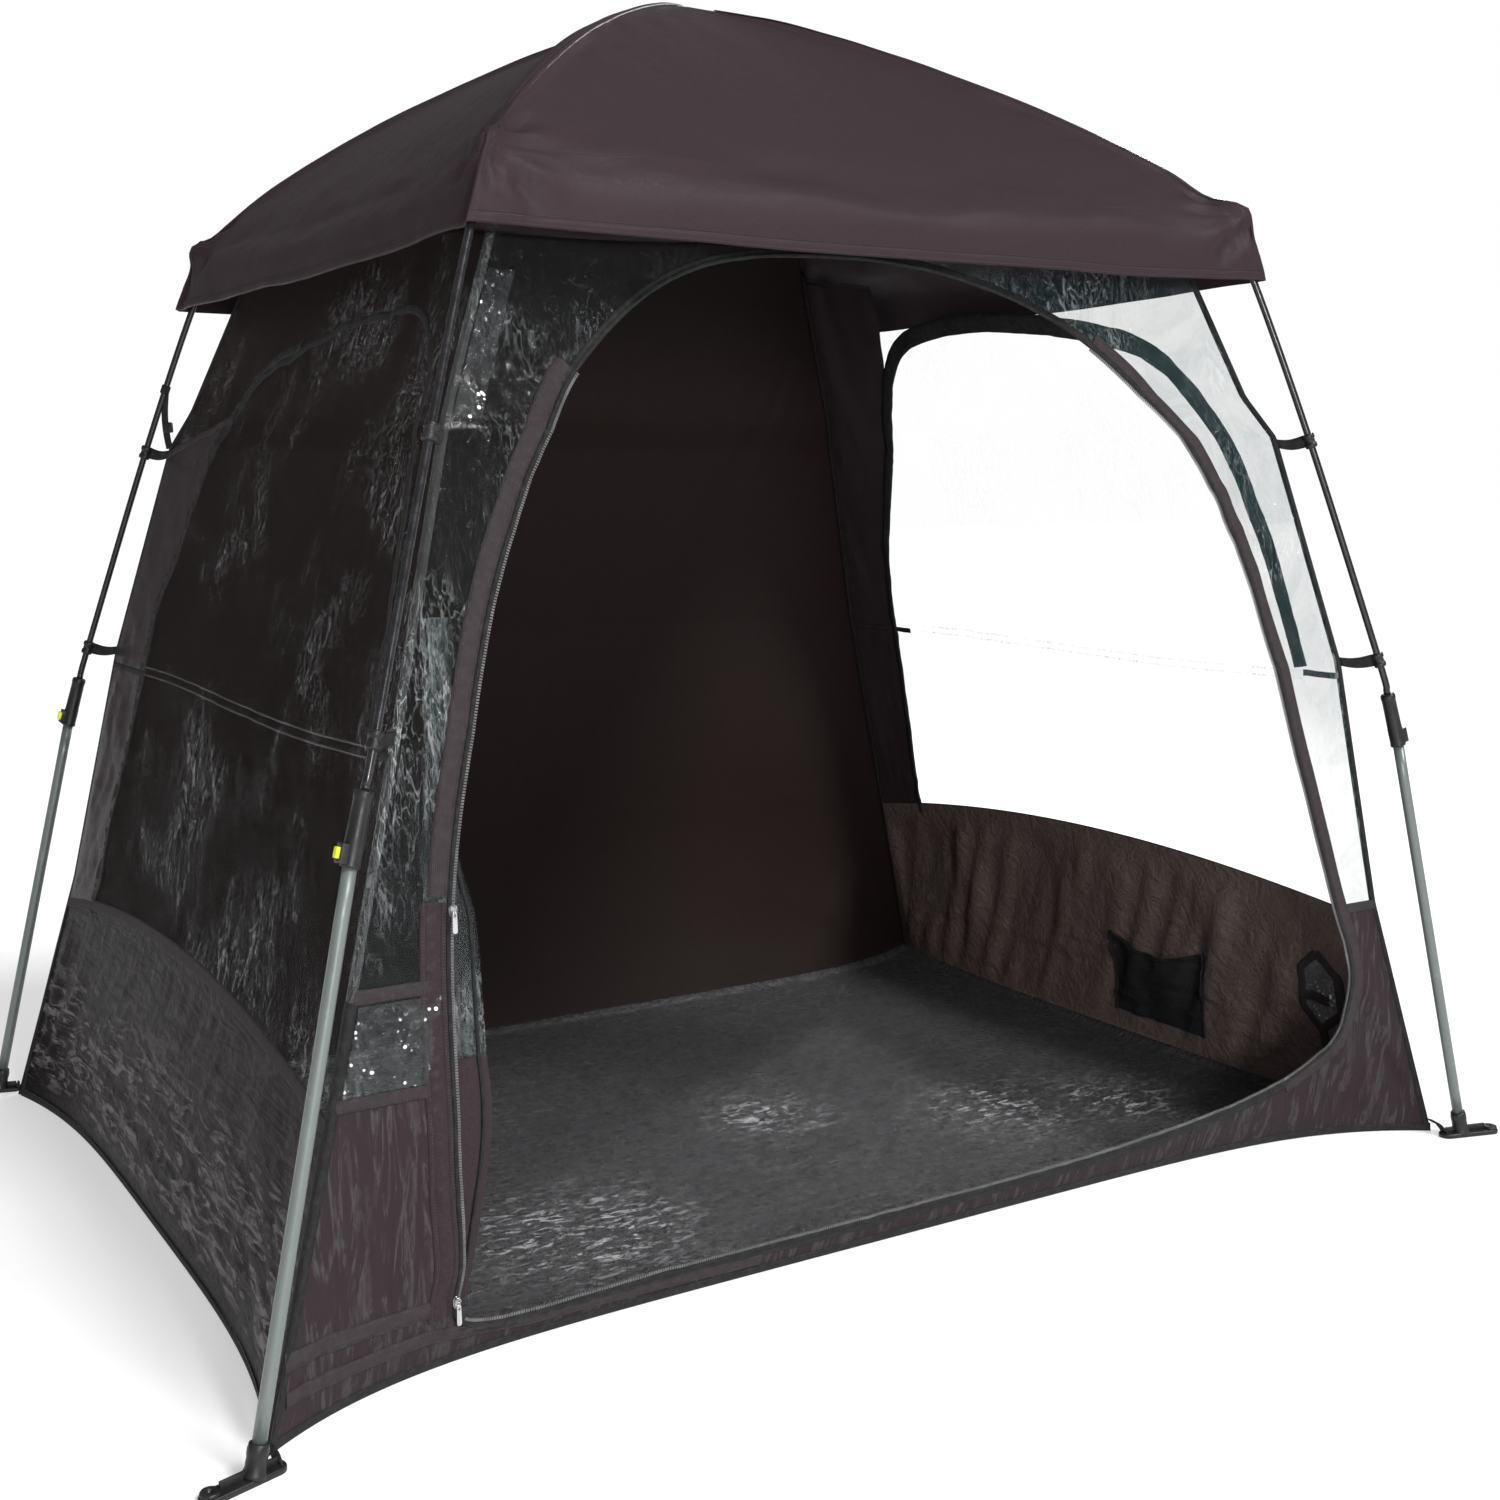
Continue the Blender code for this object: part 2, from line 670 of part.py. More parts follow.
def panel(name, side, outline, holes, cuts, mat):
    """A wall panel: a flat region, trimmed by cuts, laid on the wall's curve and thickened."""
    bm = flat_region(name, outline, holes)
    for point, normal in cuts:
        slice_at(bm, point, normal, drop=True)
    xs = [v.co.x for v in bm.verts]
    zs = [v.co.y for v in bm.verts]
    for s in slices(side):
        if min(xs) + SLICE_MARGIN < s < max(xs) - SLICE_MARGIN:
            slice_at(bm, (s, 0), (1, 0))
    for z in [c[0] for c in WALL_CORNER] + list(HEM_LEVELS):
        if min(zs) + LEVEL_MARGIN < z < max(zs) - LEVEL_MARGIN:
            slice_at(bm, (0, z), (0, 1))
    bmesh.ops.triangulate(bm, faces=bm.faces)
    for v in bm.verts:
        v.co = wall_point(side, v.co.x, v.co.y)
    outward = {"front": (0, -1, 0), "back": (0, 1, 0), "left": (-1, 0, 0), "right": (1, 0, 0)}[side]
    for face in bm.faces:
        face.normal_update()
        if face.normal.dot(Vector(outward)) < 0:
            face.normal_flip()
    mesh = bpy.data.meshes.new(name)
    bm.to_mesh(mesh)
    bm.free()
    obj = link(name, mesh, mat)
    mod = obj.modifiers.new("thickness", "SOLIDIFY")
    mod.thickness = WALL_T
    mod.offset = -1.0
    return obj


def make_front(mats):
    """The front wall round its doorway, in clear and opaque panels, and the door's zip trim."""
    loop = [tuple(p) for p in smooth_loop([Vector((x, z)).to_3d() for x, z in DOOR_LOOP], DOOR_SPAN)]
    door = [(p[0], p[1]) for p in loop]
    hole = grow(door, TRIM_R + TRIM_CLEAR)
    wall = wall_outline("front")
    up, down, left, right = (0, 1), (0, -1), (-1, 0), (1, 0)
    panel("front_lower_left", "front", wall, [hole],
          [((0, LOWER_LEFT_Z), up), ((SILL_LEFT_X, 0), right)], mats["cloth"])
    panel("front_sill", "front", wall, [hole],
          [((0, SILL_CUT_Z), up), ((SILL_LEFT_X + SEAM, 0), left), ((SILL_RIGHT_X - SEAM, 0), right)],
          mats["cloth"])
    panel("front_lower_right", "front", wall, [hole],
          [((0, LOWER_RIGHT_Z), up), ((SILL_RIGHT_X, 0), left)], mats["cloth"])
    panel("front_window_left", "front", wall, [hole],
          [((0, LOWER_LEFT_Z + SEAM), down), ((WINDOW_SPLIT_X, 0), right)], mats["clear"])
    panel("front_window_right", "front", wall, [hole],
          [((0, LOWER_RIGHT_Z + SEAM), down), ((WINDOW_SPLIT_X + SEAM, 0), left)], mats["clear"])
    mid = WALL_T / 2
    ring = []
    for x, z in door:
        p = wall_point("front", x, z)
        ring.append((p.x, p.y + mid, p.z))
    tube_curve("door_trim", ring, TRIM_R, mats["webbing"], cyclic=True)


def lower_seam(reach):
    """The curved seam over a side wall's opaque lower panel."""
    rise = SIDE_LOWER_MID_Z - SIDE_LOWER_END_Z
    return [(s * reach, SIDE_LOWER_END_Z + rise * (1 - s * s))
            for s in (1, 0.75, 0.5, 0.25, 0, -0.25, -0.5, -0.75, -1)]


def make_side(side, mats):
    """A side wall: an opaque lower panel and a clear window above its curved seam."""
    wall = wall_outline(side)
    seam = lower_seam(half_span(side, 0.0))
    low_edge = [(s, z - SEAM / 2) for s, z in seam]
    high_edge = [(s, z + SEAM / 2) for s, z in seam]

    def inside(points):
        return [(max(-half_span(side, z), min(half_span(side, z), s)), z) for s, z in points]

    right = [p for p in wall[:2] if p[1] < SIDE_LOWER_END_Z]
    left = [(-s, z) for s, z in reversed(right)]
    panel(side + "_wall_lower", side, right + inside(low_edge) + left, [], [], mats["cloth"])
    upper = [p for p in wall if p[1] > SIDE_LOWER_END_Z + 0.02]
    panel(side + "_window", side, upper + list(reversed(inside(high_edge))), [], [], mats["clear"])


def make_back(mats):
    panel("back_wall", "back", wall_outline("back"), [], [], mats["cloth"])


def make_floor(mats):
    """The woven floor, cut to the walls' hem line and lying on the ground."""
    inset = FLOOR_INSET
    loop = []
    for side in ("front", "right", "back", "left"):
        turn = 1 if side in ("front", "right") else -1
        inward = {"front": (0, 1), "back": (0, -1), "left": (1, 0), "right": (-1, 0)}[side]
        for s in slices(side):
            p = wall_point(side, turn * s, 0.0)
            loop.append((p.x + inward[0] * inset, p.y + inward[1] * inset))
    obj = link("floor_sheet", plate_mesh("floor_sheet", loop, [], WALL_T), mats["floor"])
    return obj


def rod_frame(z):
    """A point on the upper rod's axis at a height, and the rod's direction there."""
    path = smooth_path(rod_stations(), ROD_POINTS)
    for a, b in zip(path, path[1:]):
        if a.z <= z <= b.z:
            return a + (b - a) * ((z - a.z) / (b.z - a.z)), (b - a).normalized()
    return path[-1], (path[-1] - path[-2]).normalized()


def make_strap(name, z, sx, sy, mats):
    """A collar on the pole with a short strap to the wall's corner."""
    point, along = rod_frame(z)
    half_x, half_y = corner_at(z)
    target = Vector((half_x, half_y, z))
    point, along, target = at_corner(point, sx, sy), at_corner(along, sx, sy), at_corner(target, sx, sy)
    reach = (target - point) - along * (target - point).dot(along)
    matrix = axis_matrix(point, along, reach)
    bm = bmesh.new()
    bore = ROD_R + SEAT_GAP
    rings = []
    for r, h in ((bore, -1), (COLLAR_R, -1), (COLLAR_R, 1), (bore, 1)):
        rings.append([bm.verts.new((r * math.cos(2 * math.pi * k / COLLAR_SIDES),
                                    r * math.sin(2 * math.pi * k / COLLAR_SIDES), h * COLLAR_H / 2))
                      for k in range(COLLAR_SIDES)])
    for i in range(4):
        a, b = rings[i], rings[(i + 1) % 4]
        for k in range(COLLAR_SIDES):
            m = (k + 1) % COLLAR_SIDES
            bm.faces.new((a[k], a[m], b[m], b[k]))
    obj = link(name, mesh_from_bmesh(name, bm), mats["webbing"])
    obj.matrix_world = matrix
    end = reach.length - STRAP_END_GAP
    tongue = mesh_from_bmesh("tongue", bm_box((ROD_R + COLLAR_BITE, -STRAP_T / 2, -STRAP_W / 2),
                                              (end, STRAP_T / 2, STRAP_W / 2)))
    boolean(obj, cutter(name + "_tongue", tongue, matrix), "UNION")
    return obj


def make_flap(mats):
    """The unzipped door, gathered and tied back inside the left jamb."""
    x0, x1 = FLAP_X
    z0, z1 = FLAP_Z
    bm = bmesh.new()
    rings = []
    for k in range(FLAP_STEPS + 1):
        share = k / FLAP_STEPS
        z = z0 + (z1 - z0) * share
        narrow = FLAP_NARROW * share
        lean = FLAP_LEAN * share
        ring = []
        for x, depth in ((x0 + lean + narrow, 0.0), (x1 + lean, 0.0), (x1 + lean, FLAP_T),
                         (x0 + lean + narrow, FLAP_T)):
            p = wall_point("front", x, z)
            ring.append(bm.verts.new((x, p.y + FLAP_BACK + depth, z)))
        rings.append(ring)
    for low, high in zip(rings, rings[1:]):
        for i in range(4):
            bm.faces.new((low[i], low[(i + 1) % 4], high[(i + 1) % 4], high[i]))
    bm.faces.new(rings[0])
    bm.faces.new(list(reversed(rings[-1])))
    bmesh.ops.triangulate(bm, faces=bm.faces)
    return link("door_flap", mesh_from_bmesh("door_flap", bm), mats["clear"])


def door_jamb_x(z):
    """The left jamb's place at a height, read from the door's outline."""
    loop = smooth_loop([Vector((x, y, 0)) for x, y in DOOR_LOOP], DOOR_SPAN)
    left = [p for p in loop if p.x < -0.6 and p.y < 1.0]
    return min(left, key=lambda p: abs(p.y - z)).x


def add_box(bm, low, high):
    """Adds a box to a bmesh."""
    made = bmesh.ops.create_cube(bm, size=1.0)["verts"]
    bmesh.ops.scale(bm, verts=made, vec=Vector(high) - Vector(low))
    bmesh.ops.translate(bm, verts=made, vec=(Vector(low) + Vector(high)) / 2)


def make_zip(name, z, mats):
    """A zip slider on the door's trim, and the pull whose crossbar rests in its hook."""
    x = door_jamb_x(z)
    along = wall_point("front", x, z + 0.01) - wall_point("front", x, z - 0.01)
    frame = axis_matrix(wall_point("front", x, z), along, (1, 0, 0))
    width, depth, height = SLIDER_SIZE
    face = WALL_T / 2 - TRIM_R - SEAT_GAP
    frame = frame @ Matrix.Translation((0, face, 0))
    body = bm_box((-width / 2, -depth, -height / 2), (width / 2, 0, height / 2))
    bmesh.ops.bevel(body, geom=body.edges[:], offset=SLIDER_CHAMFER, segments=1, affect="EDGES")
    slider = link("zip_slider_" + name, mesh_from_bmesh("zip_slider_" + name, body), mats["zip"])
    slider.matrix_world = frame
    bar_half = PULL_T / 2
    pivot_y = -depth - PIVOT_OUT
    floor_z = -BAR_H / 2 - HOOK_FIT
    front_y = pivot_y - bar_half - HOOK_FIT
    stub = mesh_from_bmesh("stub", bm_box((-HOOK_W / 2, front_y - HOOK_T, floor_z - HOOK_T),
                                          (HOOK_W / 2, -depth + 0.002, floor_z)))
    boolean(slider, cutter("stub_" + name, stub, frame), "UNION")
    lip = mesh_from_bmesh("lip", bm_box((-HOOK_W / 2, front_y - HOOK_T, floor_z - HOOK_T / 2),
                                        (HOOK_W / 2, front_y, HOOK_LIP)))
    boolean(slider, cutter("lip_" + name, lip, frame), "UNION")
    pivot = frame @ Vector((0, pivot_y, 0))
    half, cut = PULL_W / 2, PULL_CHAMFER
    outline = [(-half, BAR_H / 2), (-half, cut - PULL_L), (cut - half, -PULL_L),
               (half - cut, -PULL_L), (half, cut - PULL_L), (half, BAR_H / 2)]
    eye = [(-EYE_HALF_W, -BAR_H / 2), (-EYE_HALF_W, -BAR_H / 2 - EYE_L),
           (EYE_HALF_W, -BAR_H / 2 - EYE_L), (EYE_HALF_W, -BAR_H / 2)]
    hole = [(TAB_HOLE_R * math.cos(2 * math.pi * k / 10),
             TAB_HOLE_UP - PULL_L + TAB_HOLE_R * math.sin(2 * math.pi * k / 10)) for k in range(10)]
    plate = plate_mesh("zip_pull_" + name, outline, [eye, hole], PULL_T)
    plate.transform(Matrix.Rotation(math.pi / 2, 4, "X") @ Matrix.Translation((0, 0, -PULL_T / 2)))
    pull = link("zip_pull_" + name, plate, mats["zip"])
    pull.location = pivot


PARTS = bpy.data.collections.new("weather_pod")
CUTTERS = bpy.data.collections.new("weather_pod_cutters")


def main():
    clear_scene()
    bpy.context.scene.collection.children.link(PARTS)
    bpy.context.scene.collection.children.link(CUTTERS)
    mats = make_materials()
    make_canopy(mats)
    make_hub(mats)
    for corner, (sx, sy) in CORNERS.items():
        make_arm("roof_arm_" + corner, sx, sy, mats)
        make_upper_rod("upper_rod_" + corner, sx, sy, mats)
        make_sleeve("sleeve_" + corner, sx, sy, mats)
        make_button("button_" + corner, sx, sy, mats)
        make_lower_tube("lower_tube_" + corner, sx, sy, mats)
        make_foot("foot_" + corner, sx, sy, mats)
        make_strap("low_strap_" + corner, LEG_LOW_STRAP[2], sx, sy, mats)
        make_strap("high_strap_" + corner, LEG_HIGH_STRAP[2], sx, sy, mats)
    make_front(mats)
    make_side("left", mats)
    make_side("right", mats)
    make_back(mats)
    make_floor(mats)
    make_flap(mats)
    make_zip("high", ZIP_HIGH_Z, mats)
    make_zip("low", ZIP_LOW_Z, mats)


main()
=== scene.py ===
"""Looks of the sports weather pod: cloth, clear film, straps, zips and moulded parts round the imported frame.

Metres, +Z up, in the CAD part's frame. The door faces -Y.
"""
import math

import bmesh
import bpy
import numpy as np
from mathutils import Matrix, Vector


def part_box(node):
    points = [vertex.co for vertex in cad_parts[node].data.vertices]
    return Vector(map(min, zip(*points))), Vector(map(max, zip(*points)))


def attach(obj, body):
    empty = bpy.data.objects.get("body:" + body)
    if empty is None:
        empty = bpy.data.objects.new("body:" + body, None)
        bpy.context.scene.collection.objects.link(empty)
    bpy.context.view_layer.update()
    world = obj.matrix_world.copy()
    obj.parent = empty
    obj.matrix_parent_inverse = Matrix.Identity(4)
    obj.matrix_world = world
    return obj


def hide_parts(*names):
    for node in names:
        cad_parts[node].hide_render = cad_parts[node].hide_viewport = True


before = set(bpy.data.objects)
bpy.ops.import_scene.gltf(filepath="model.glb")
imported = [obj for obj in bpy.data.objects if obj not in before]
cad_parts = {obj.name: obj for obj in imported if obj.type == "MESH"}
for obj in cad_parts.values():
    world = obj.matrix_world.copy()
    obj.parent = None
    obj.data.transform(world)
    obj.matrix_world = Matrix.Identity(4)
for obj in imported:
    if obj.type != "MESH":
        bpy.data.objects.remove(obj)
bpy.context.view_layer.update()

# The camera, fitted to the feet, straps, eave corners and peak
CAMERA_AT = (-1.738, -3.038, 1.222)
CAMERA_YAW = math.radians(-31.479)
CAMERA_PITCH = math.radians(8.170)
CAMERA_ROLL = math.radians(-0.345)
CAMERA_LENS = 44.28

# Driving sizes, as in the CAD part
LEG_FOOT = (1.150, 0.885, 0.000)
LEG_SOCKET_TOP = (1.140, 0.882, 0.046)
LEG_TUBE_TOP = (0.981, 0.838, 0.750)
LEG_SLEEVE_TOP = (0.955, 0.830, 0.845)
LEG_LOW_STRAP = (0.937, 0.823, 0.906)
LEG_HIGH_STRAP = (0.821, 0.750, 1.293)
LEG_HEM = (0.732, 0.692, 1.566)
LEG_ELBOW = (0.694, 0.671, 1.648)
CREASE = (0.706, 0.687, 1.680)
HEM = (0.744, 0.705, 1.566)
PEAK_Z = 2.080
HIP_BOW = 0.045
FACE_SAG = 0.030
WALL_CORNER = np.array([
    (0.00, 1.120, 0.840),
    (0.45, 0.995, 0.790),
    (0.90, 0.893, 0.775),
    (1.30, 0.785, 0.705),
    (1.37, 0.750, 0.665),
    (1.62, 0.650, 0.600),
    (1.80, 0.590, 0.560),
])
HEM_SAG = {"front": (0.140, 6), "back": (0.140, 6), "left": (0.065, 4), "right": (0.065, 4)}
HEM_SAG_TOP = 0.500
SIDE_INSET = 0.0044
SIDE_INSET_LOW = 0.0050
ROOF_CLEAR = 0.0066
LOWER_Z = {"left": 0.420, "right": 0.455}
SIDE_LOWER_END_Z = 0.400
SIDE_LOWER_MID_Z = 0.470
# The front films go round the arch, so each is two cuts that meet at this height.
FILM_CUT_Z = {"left": 1.15, "right": 1.10}
SILL_X = (-0.750, 0.600)
DOOR_LOOP = (
    (-0.790, 0.058), (-0.822, 0.180), (-0.832, 0.420), (-0.826, 0.680), (-0.778, 0.942),
    (-0.700, 1.170), (-0.571, 1.377), (-0.370, 1.530), (-0.097, 1.570), (0.160, 1.543),
    (0.387, 1.458), (0.553, 1.308), (0.655, 1.130), (0.730, 0.900), (0.810, 0.660),
    (0.885, 0.460), (0.930, 0.320), (0.905, 0.210), (0.800, 0.130), (0.600, 0.085),
    (0.350, 0.062), (0.000, 0.055), (-0.450, 0.052),
)
DOOR_MID = (0.0, 0.80)
ARCH = {
    "left": ((0.600, 0.412), (0.568, 0.640), (0.535, 0.850), (0.523, 1.000), (0.466, 1.103), (0.405, 1.238),
             (0.295, 1.384), (0.166, 1.433), (-0.076, 1.471), (-0.350, 1.484), (-0.500, 1.452), (-0.590, 1.340),
             (-0.645, 1.120), (-0.681, 0.885)),
    "right": ((0.620, 0.410), (0.596, 0.800), (0.572, 1.000), (0.500, 1.200), (0.440, 1.340), (0.345, 1.485),
              (0.225, 1.537), (0.006, 1.548), (-0.271, 1.518), (-0.472, 1.454), (-0.565, 1.335), (-0.632, 1.150),
              (-0.681, 0.885)),
}
WELD_Z = 0.874
# Floor spots (x, y, radius) where pale highlights are painted into the floor's colour.
PAINTED_GLINT_SPOTS = ((-0.45, -0.42, 0.30), (0.52, -0.30, 0.26), (0.74, -0.38, 0.20), (0.10, -0.10, 0.20))
CORNERS = {"front_left": (-1, -1), "front_right": (1, -1), "back_left": (-1, 1), "back_right": (1, 1)}


# Materials

def srgb(r, g, b):
    """A colour given as 0 to 255 display values, in linear light."""
    return tuple(((c / 255 + 0.055) / 1.055) ** 2.4 if c > 10 else c / 255 / 12.92 for c in (r, g, b))


class Look:
    """A procedural material under construction."""

    def __init__(self, name, colour, roughness, metallic=0.0, specular=0.5):
        self.mat = bpy.data.materials.new(name)
        self.mat.use_nodes = True
        self.tree = self.mat.node_tree
        self.shader = self.tree.nodes["Principled BSDF"]
        self.shader.inputs["Base Color"].default_value = (*colour, 1)
        self.shader.inputs["Roughness"].default_value = roughness
        self.shader.inputs["Metallic"].default_value = metallic
        self.shader.inputs["Specular IOR Level"].default_value = specular
        self.mat.diffuse_color = (*colour, 1)
        self.coords = self.tree.nodes.new("ShaderNodeTexCoord").outputs["Object"]
        self.height = None

    def node(self, kind, settings=(), **inputs):
        made = self.tree.nodes.new("ShaderNode" + kind)
        for key, value in dict(settings).items():
            setattr(made, key, value)
        for key, value in inputs.items():
            socket = made.inputs[int(key[1:])] if key[0] == "i" and key[1:].isdigit() else (
                made.inputs[key.replace("_", " ")])
            if hasattr(value, "is_linked"):
                self.tree.links.new(value, socket)
            else:
                socket.default_value = value
        return made

    def stretched(self, scale, turn=(0, 0, 0)):
        return self.node("Mapping", Vector=self.coords, Rotation=turn, Scale=scale).outputs[0]

    def noise(self, scale, detail=4.0, rough=0.5, warp=0.0, where=None, kind="FBM"):
        made = self.node("TexNoise", {"noise_type": kind}, Vector=where or self.coords, Scale=scale,
                         Detail=detail, Roughness=rough, Distortion=warp)
        return made.outputs[0]

    def cells(self, scale, where=None, feature="DISTANCE_TO_EDGE"):
        return self.node("TexVoronoi", {"feature": feature}, Vector=where or self.coords,
                         Scale=scale).outputs["Distance"]

    def ramp(self, value, low, high, out_low=0.0, out_high=1.0):
        return self.node("MapRange", {"interpolation_type": "SMOOTHSTEP"}, Value=value, From_Min=low,
                         From_Max=high, To_Min=out_low, To_Max=out_high).outputs[0]

    def math(self, operation, a, b=0.0):
        return self.node("Math", {"operation": operation}, i0=a, i1=b).outputs[0]

    def tint(self, share, dark, light):
        made = self.node("Mix", {"data_type": "RGBA"})
        self.tree.links.new(share, made.inputs[0])
        made.inputs[6].default_value = (*dark, 1)
        made.inputs[7].default_value = (*light, 1)
        self.tree.links.new(made.outputs[2], self.shader.inputs["Base Color"])

    def rough(self, value):
        self.tree.links.new(value, self.shader.inputs["Roughness"])

    def bump(self, value, distance, strength=1.0):
        made = self.node("Bump", Height=value, Distance=distance, Strength=strength)
        if self.height is not None:
            self.tree.links.new(self.height, made.inputs["Normal"])
        self.height = made.outputs[0]
        self.tree.links.new(self.height, self.shader.inputs["Normal"])

    def weave(self, pitch, depth, strength=1.0):
        """A plain weave: two crossed sets of threads, on whichever plane the surface lies near."""
        k = 2 * math.pi / pitch
        x, y, z = self.node("SeparateXYZ", Vector=self.coords).outputs
        waves = [self.math("SINE", self.math("MULTIPLY", c, k)) for c in (self.math("ADD", x, y), z,
                                                                         self.math("SUBTRACT", x, y))]
        crossed = self.math("ADD", self.math("MULTIPLY", waves[0], waves[1]),
                            self.math("MULTIPLY", waves[2], 0.5))
        self.bump(crossed, depth, strength)


def cloth_look(name, colour, light, roughness, specular=0.16, crease=0.0010, streak=0.0):
    """Coated woven cloth: fine weave, small puckers and, on a crinkled one, glossy creases."""
    look = Look(name, colour, roughness, specular=specular)
    look.tint(look.ramp(look.noise(240.0, 4.0, 0.6), 0.30, 0.72), colour, light)
    look.rough(look.ramp(look.noise(90.0, 3.0, 0.6), 0.30, 0.70, roughness - 0.03, roughness + 0.05))
    if streak:
        drawn = look.noise(1.0, 5.0, 0.6, 1.2, where=look.stretched((9.0, 26.0, 26.0), (0.5, 0.4, 0.3)))
        look.bump(drawn, streak, 0.8)
        look.bump(look.noise(1.0, 4.0, 0.6, 0.8, where=look.stretched((30.0, 60.0, 70.0), (0.7, 0.2, 0.1))),
                  streak * 0.4, 0.7)
    look.bump(look.noise(60.0, 4.0, 0.6, 0.5), crease * 0.6, 0.5)
    look.weave(0.0016, 0.00012, 0.4)
    return look.mat


def crinkle_highlight_look(name, colour, highlight, scale, turn, band=None, share=0.62):
    """Coated cloth with painted highlights: its sharp crinkle crests are painted pale into the base colour, inside a
    band of height if one is given.
    """
    look = Look(name, colour, 0.36, specular=0.03)
    drawn = look.noise(1.0, 6.0, 0.66, 1.6, where=look.stretched(scale, turn))
    highlight_mask = look.ramp(drawn, share, share + 0.07)
    fine = look.ramp(look.noise(1.0, 5.0, 0.7, 0.8, where=look.stretched(tuple(3.2 * c for c in scale), turn)),
                     0.40, 0.62, 0.25, 1.0)
    highlight_mask = look.math("MULTIPLY", highlight_mask, fine)
    if band:
        z = look.node("SeparateXYZ", Vector=look.coords).outputs["Z"]
        low = look.ramp(z, band[0], band[1])
        high = look.ramp(z, band[2], band[3], 1.0, 0.12)
        highlight_mask = look.math("MULTIPLY", highlight_mask, look.math("MULTIPLY", low, high))
    # Painted highlights: the crests take a pale base colour, standing in for glints of light on the creases.
    look.tint(highlight_mask, colour, highlight)
    look.rough(look.ramp(look.noise(90.0, 3.0, 0.6), 0.30, 0.70, 0.32, 0.42))
    look.bump(drawn, 0.006, 0.7)
    look.bump(look.noise(60.0, 4.0, 0.6, 0.5), 0.0006, 0.5)
    look.weave(0.0016, 0.00012, 0.4)
    return look.mat


def sparkle_look(name, body, alpha):
    """Crumpled vinyl with painted glints: small bright flecks painted into its colour and its opacity."""
    look = Look(name, body, 0.12, specular=0.7)
    fleck = look.ramp(look.cells(95.0, feature="F1"), 0.22, 0.34, 1.0, 0.0)
    where = look.ramp(look.noise(24.0, 4.0, 0.6), 0.46, 0.60)
    painted_glint = look.math("MULTIPLY", fleck, where)
    # Painted glints: the flecks take a near-white base colour.
    look.tint(painted_glint, body, (0.95, 0.96, 0.97))
    base = look.ramp(look.noise(40.0, 5.0, 0.7, 1.0), 0.35, 0.70, alpha * 0.5, alpha * 1.4)
    look.tree.links.new(look.math("MAXIMUM", base, painted_glint), look.shader.inputs["Alpha"])
    look.bump(look.noise(60.0, 4.0, 0.6, 1.0), 0.004, 0.8)
    return look.mat


def crease_lines(look, scale, turn, width):
    """Fine wandering lines, drawn out along one direction."""
    value = look.noise(1.0, 3.0, 0.5, 0.5, where=look.stretched(scale, turn))
    away = look.math("ABSOLUTE", look.math("SUBTRACT", value, 0.5))
    return look.ramp(away, 0.0, width, 1.0, 0.0)


def film_look(name, clear, tint, seed, creased):
    """Clear flexible vinyl: slightly dark, glossy, with fine pale creases in patches."""
    look = Look(name, tint, 0.10, specular=0.6)
    look.shader.inputs["IOR"].default_value = 1.55
    one = crease_lines(look, (30.0, 34.0, 7.0), (0.75, 0.35, seed), 0.016)
    two = crease_lines(look, (30.0, 30.0, 6.0), (-0.95, 0.2, seed + 0.4), 0.014)
    three = crease_lines(look, (120.0, 124.0, 26.0), (0.6, -0.5, seed), 0.040)
    patch = look.ramp(look.noise(4.2, 3.0, 0.5, 0.6), 0.42, 0.66)
    lines = look.math("MAXIMUM", one, look.math("MAXIMUM", two, look.math("MULTIPLY", three, 0.7)))
    crease = look.math("MULTIPLY", lines, look.math("ADD", look.math("MULTIPLY", patch, 0.85), 0.12))
    look.tint(crease, tint, (0.42, 0.45, 0.46))
    haze = look.ramp(look.noise(7.0, 6.0, 0.7, 1.2), 0.35, 0.85, clear * 0.7, clear * 1.3)
    alpha = look.math("ADD", haze, look.math("MULTIPLY", crease, creased))
    look.tree.links.new(look.math("MINIMUM", alpha, 1.0), look.shader.inputs["Alpha"])
    look.bump(look.noise(1.0, 5.0, 0.55, 0.7, where=look.stretched((24.0, 24.0, 7.0), (0.4, 0.3, seed))), 0.004, 0.5)
    look.bump(lines, 0.0016, 0.7)
    look.rough(look.ramp(look.noise(20.0, 4.0, 0.6), 0.3, 0.7, 0.08, 0.20))
    return look.mat


def plastic_look(name, colour, roughness, specular=0.5, grain=0.00012):
    look = Look(name, colour, roughness, specular=specular)
    light = tuple(min(1.0, c * 1.6 + 0.004) for c in colour)
    look.tint(look.ramp(look.noise(40.0, 5.0, 0.6), 0.40, 0.75), colour, light)
    look.rough(look.ramp(look.noise(60.0, 4.0, 0.6), 0.3, 0.7, roughness - 0.06, roughness + 0.08))
    look.bump(look.noise(900.0, 3.0, 0.6), grain, 0.6)
    return look.mat


def webbing_look(name, colour, light):
    look = Look(name, colour, 0.75, specular=0.3)
    look.tint(look.ramp(look.noise(90.0, 4.0, 0.6), 0.35, 0.75), colour, light)
    look.weave(0.0030, 0.0004, 0.8)
    look.bump(look.noise(500.0, 3.0, 0.6), 0.0002, 0.6)
    return look.mat


def metal_look(name, colour, roughness, streak=0.05):
    look = Look(name, colour, roughness, metallic=1.0)
    light = tuple(min(1.0, c * 1.12) for c in colour)
    dark = tuple(c * 0.86 for c in colour)
    along = look.stretched((60.0, 60.0, 4.0))
    look.tint(look.ramp(look.noise(3.0, 5.0, 0.6, where=along), 0.30, 0.70), dark, light)
    look.rough(look.ramp(look.noise(5.0, 5.0, 0.7, where=along), 0.3, 0.7, roughness - streak, roughness + streak))
    look.bump(look.noise(9.0, 4.0, 0.6, where=along), 0.00008, 0.4)
    return look.mat


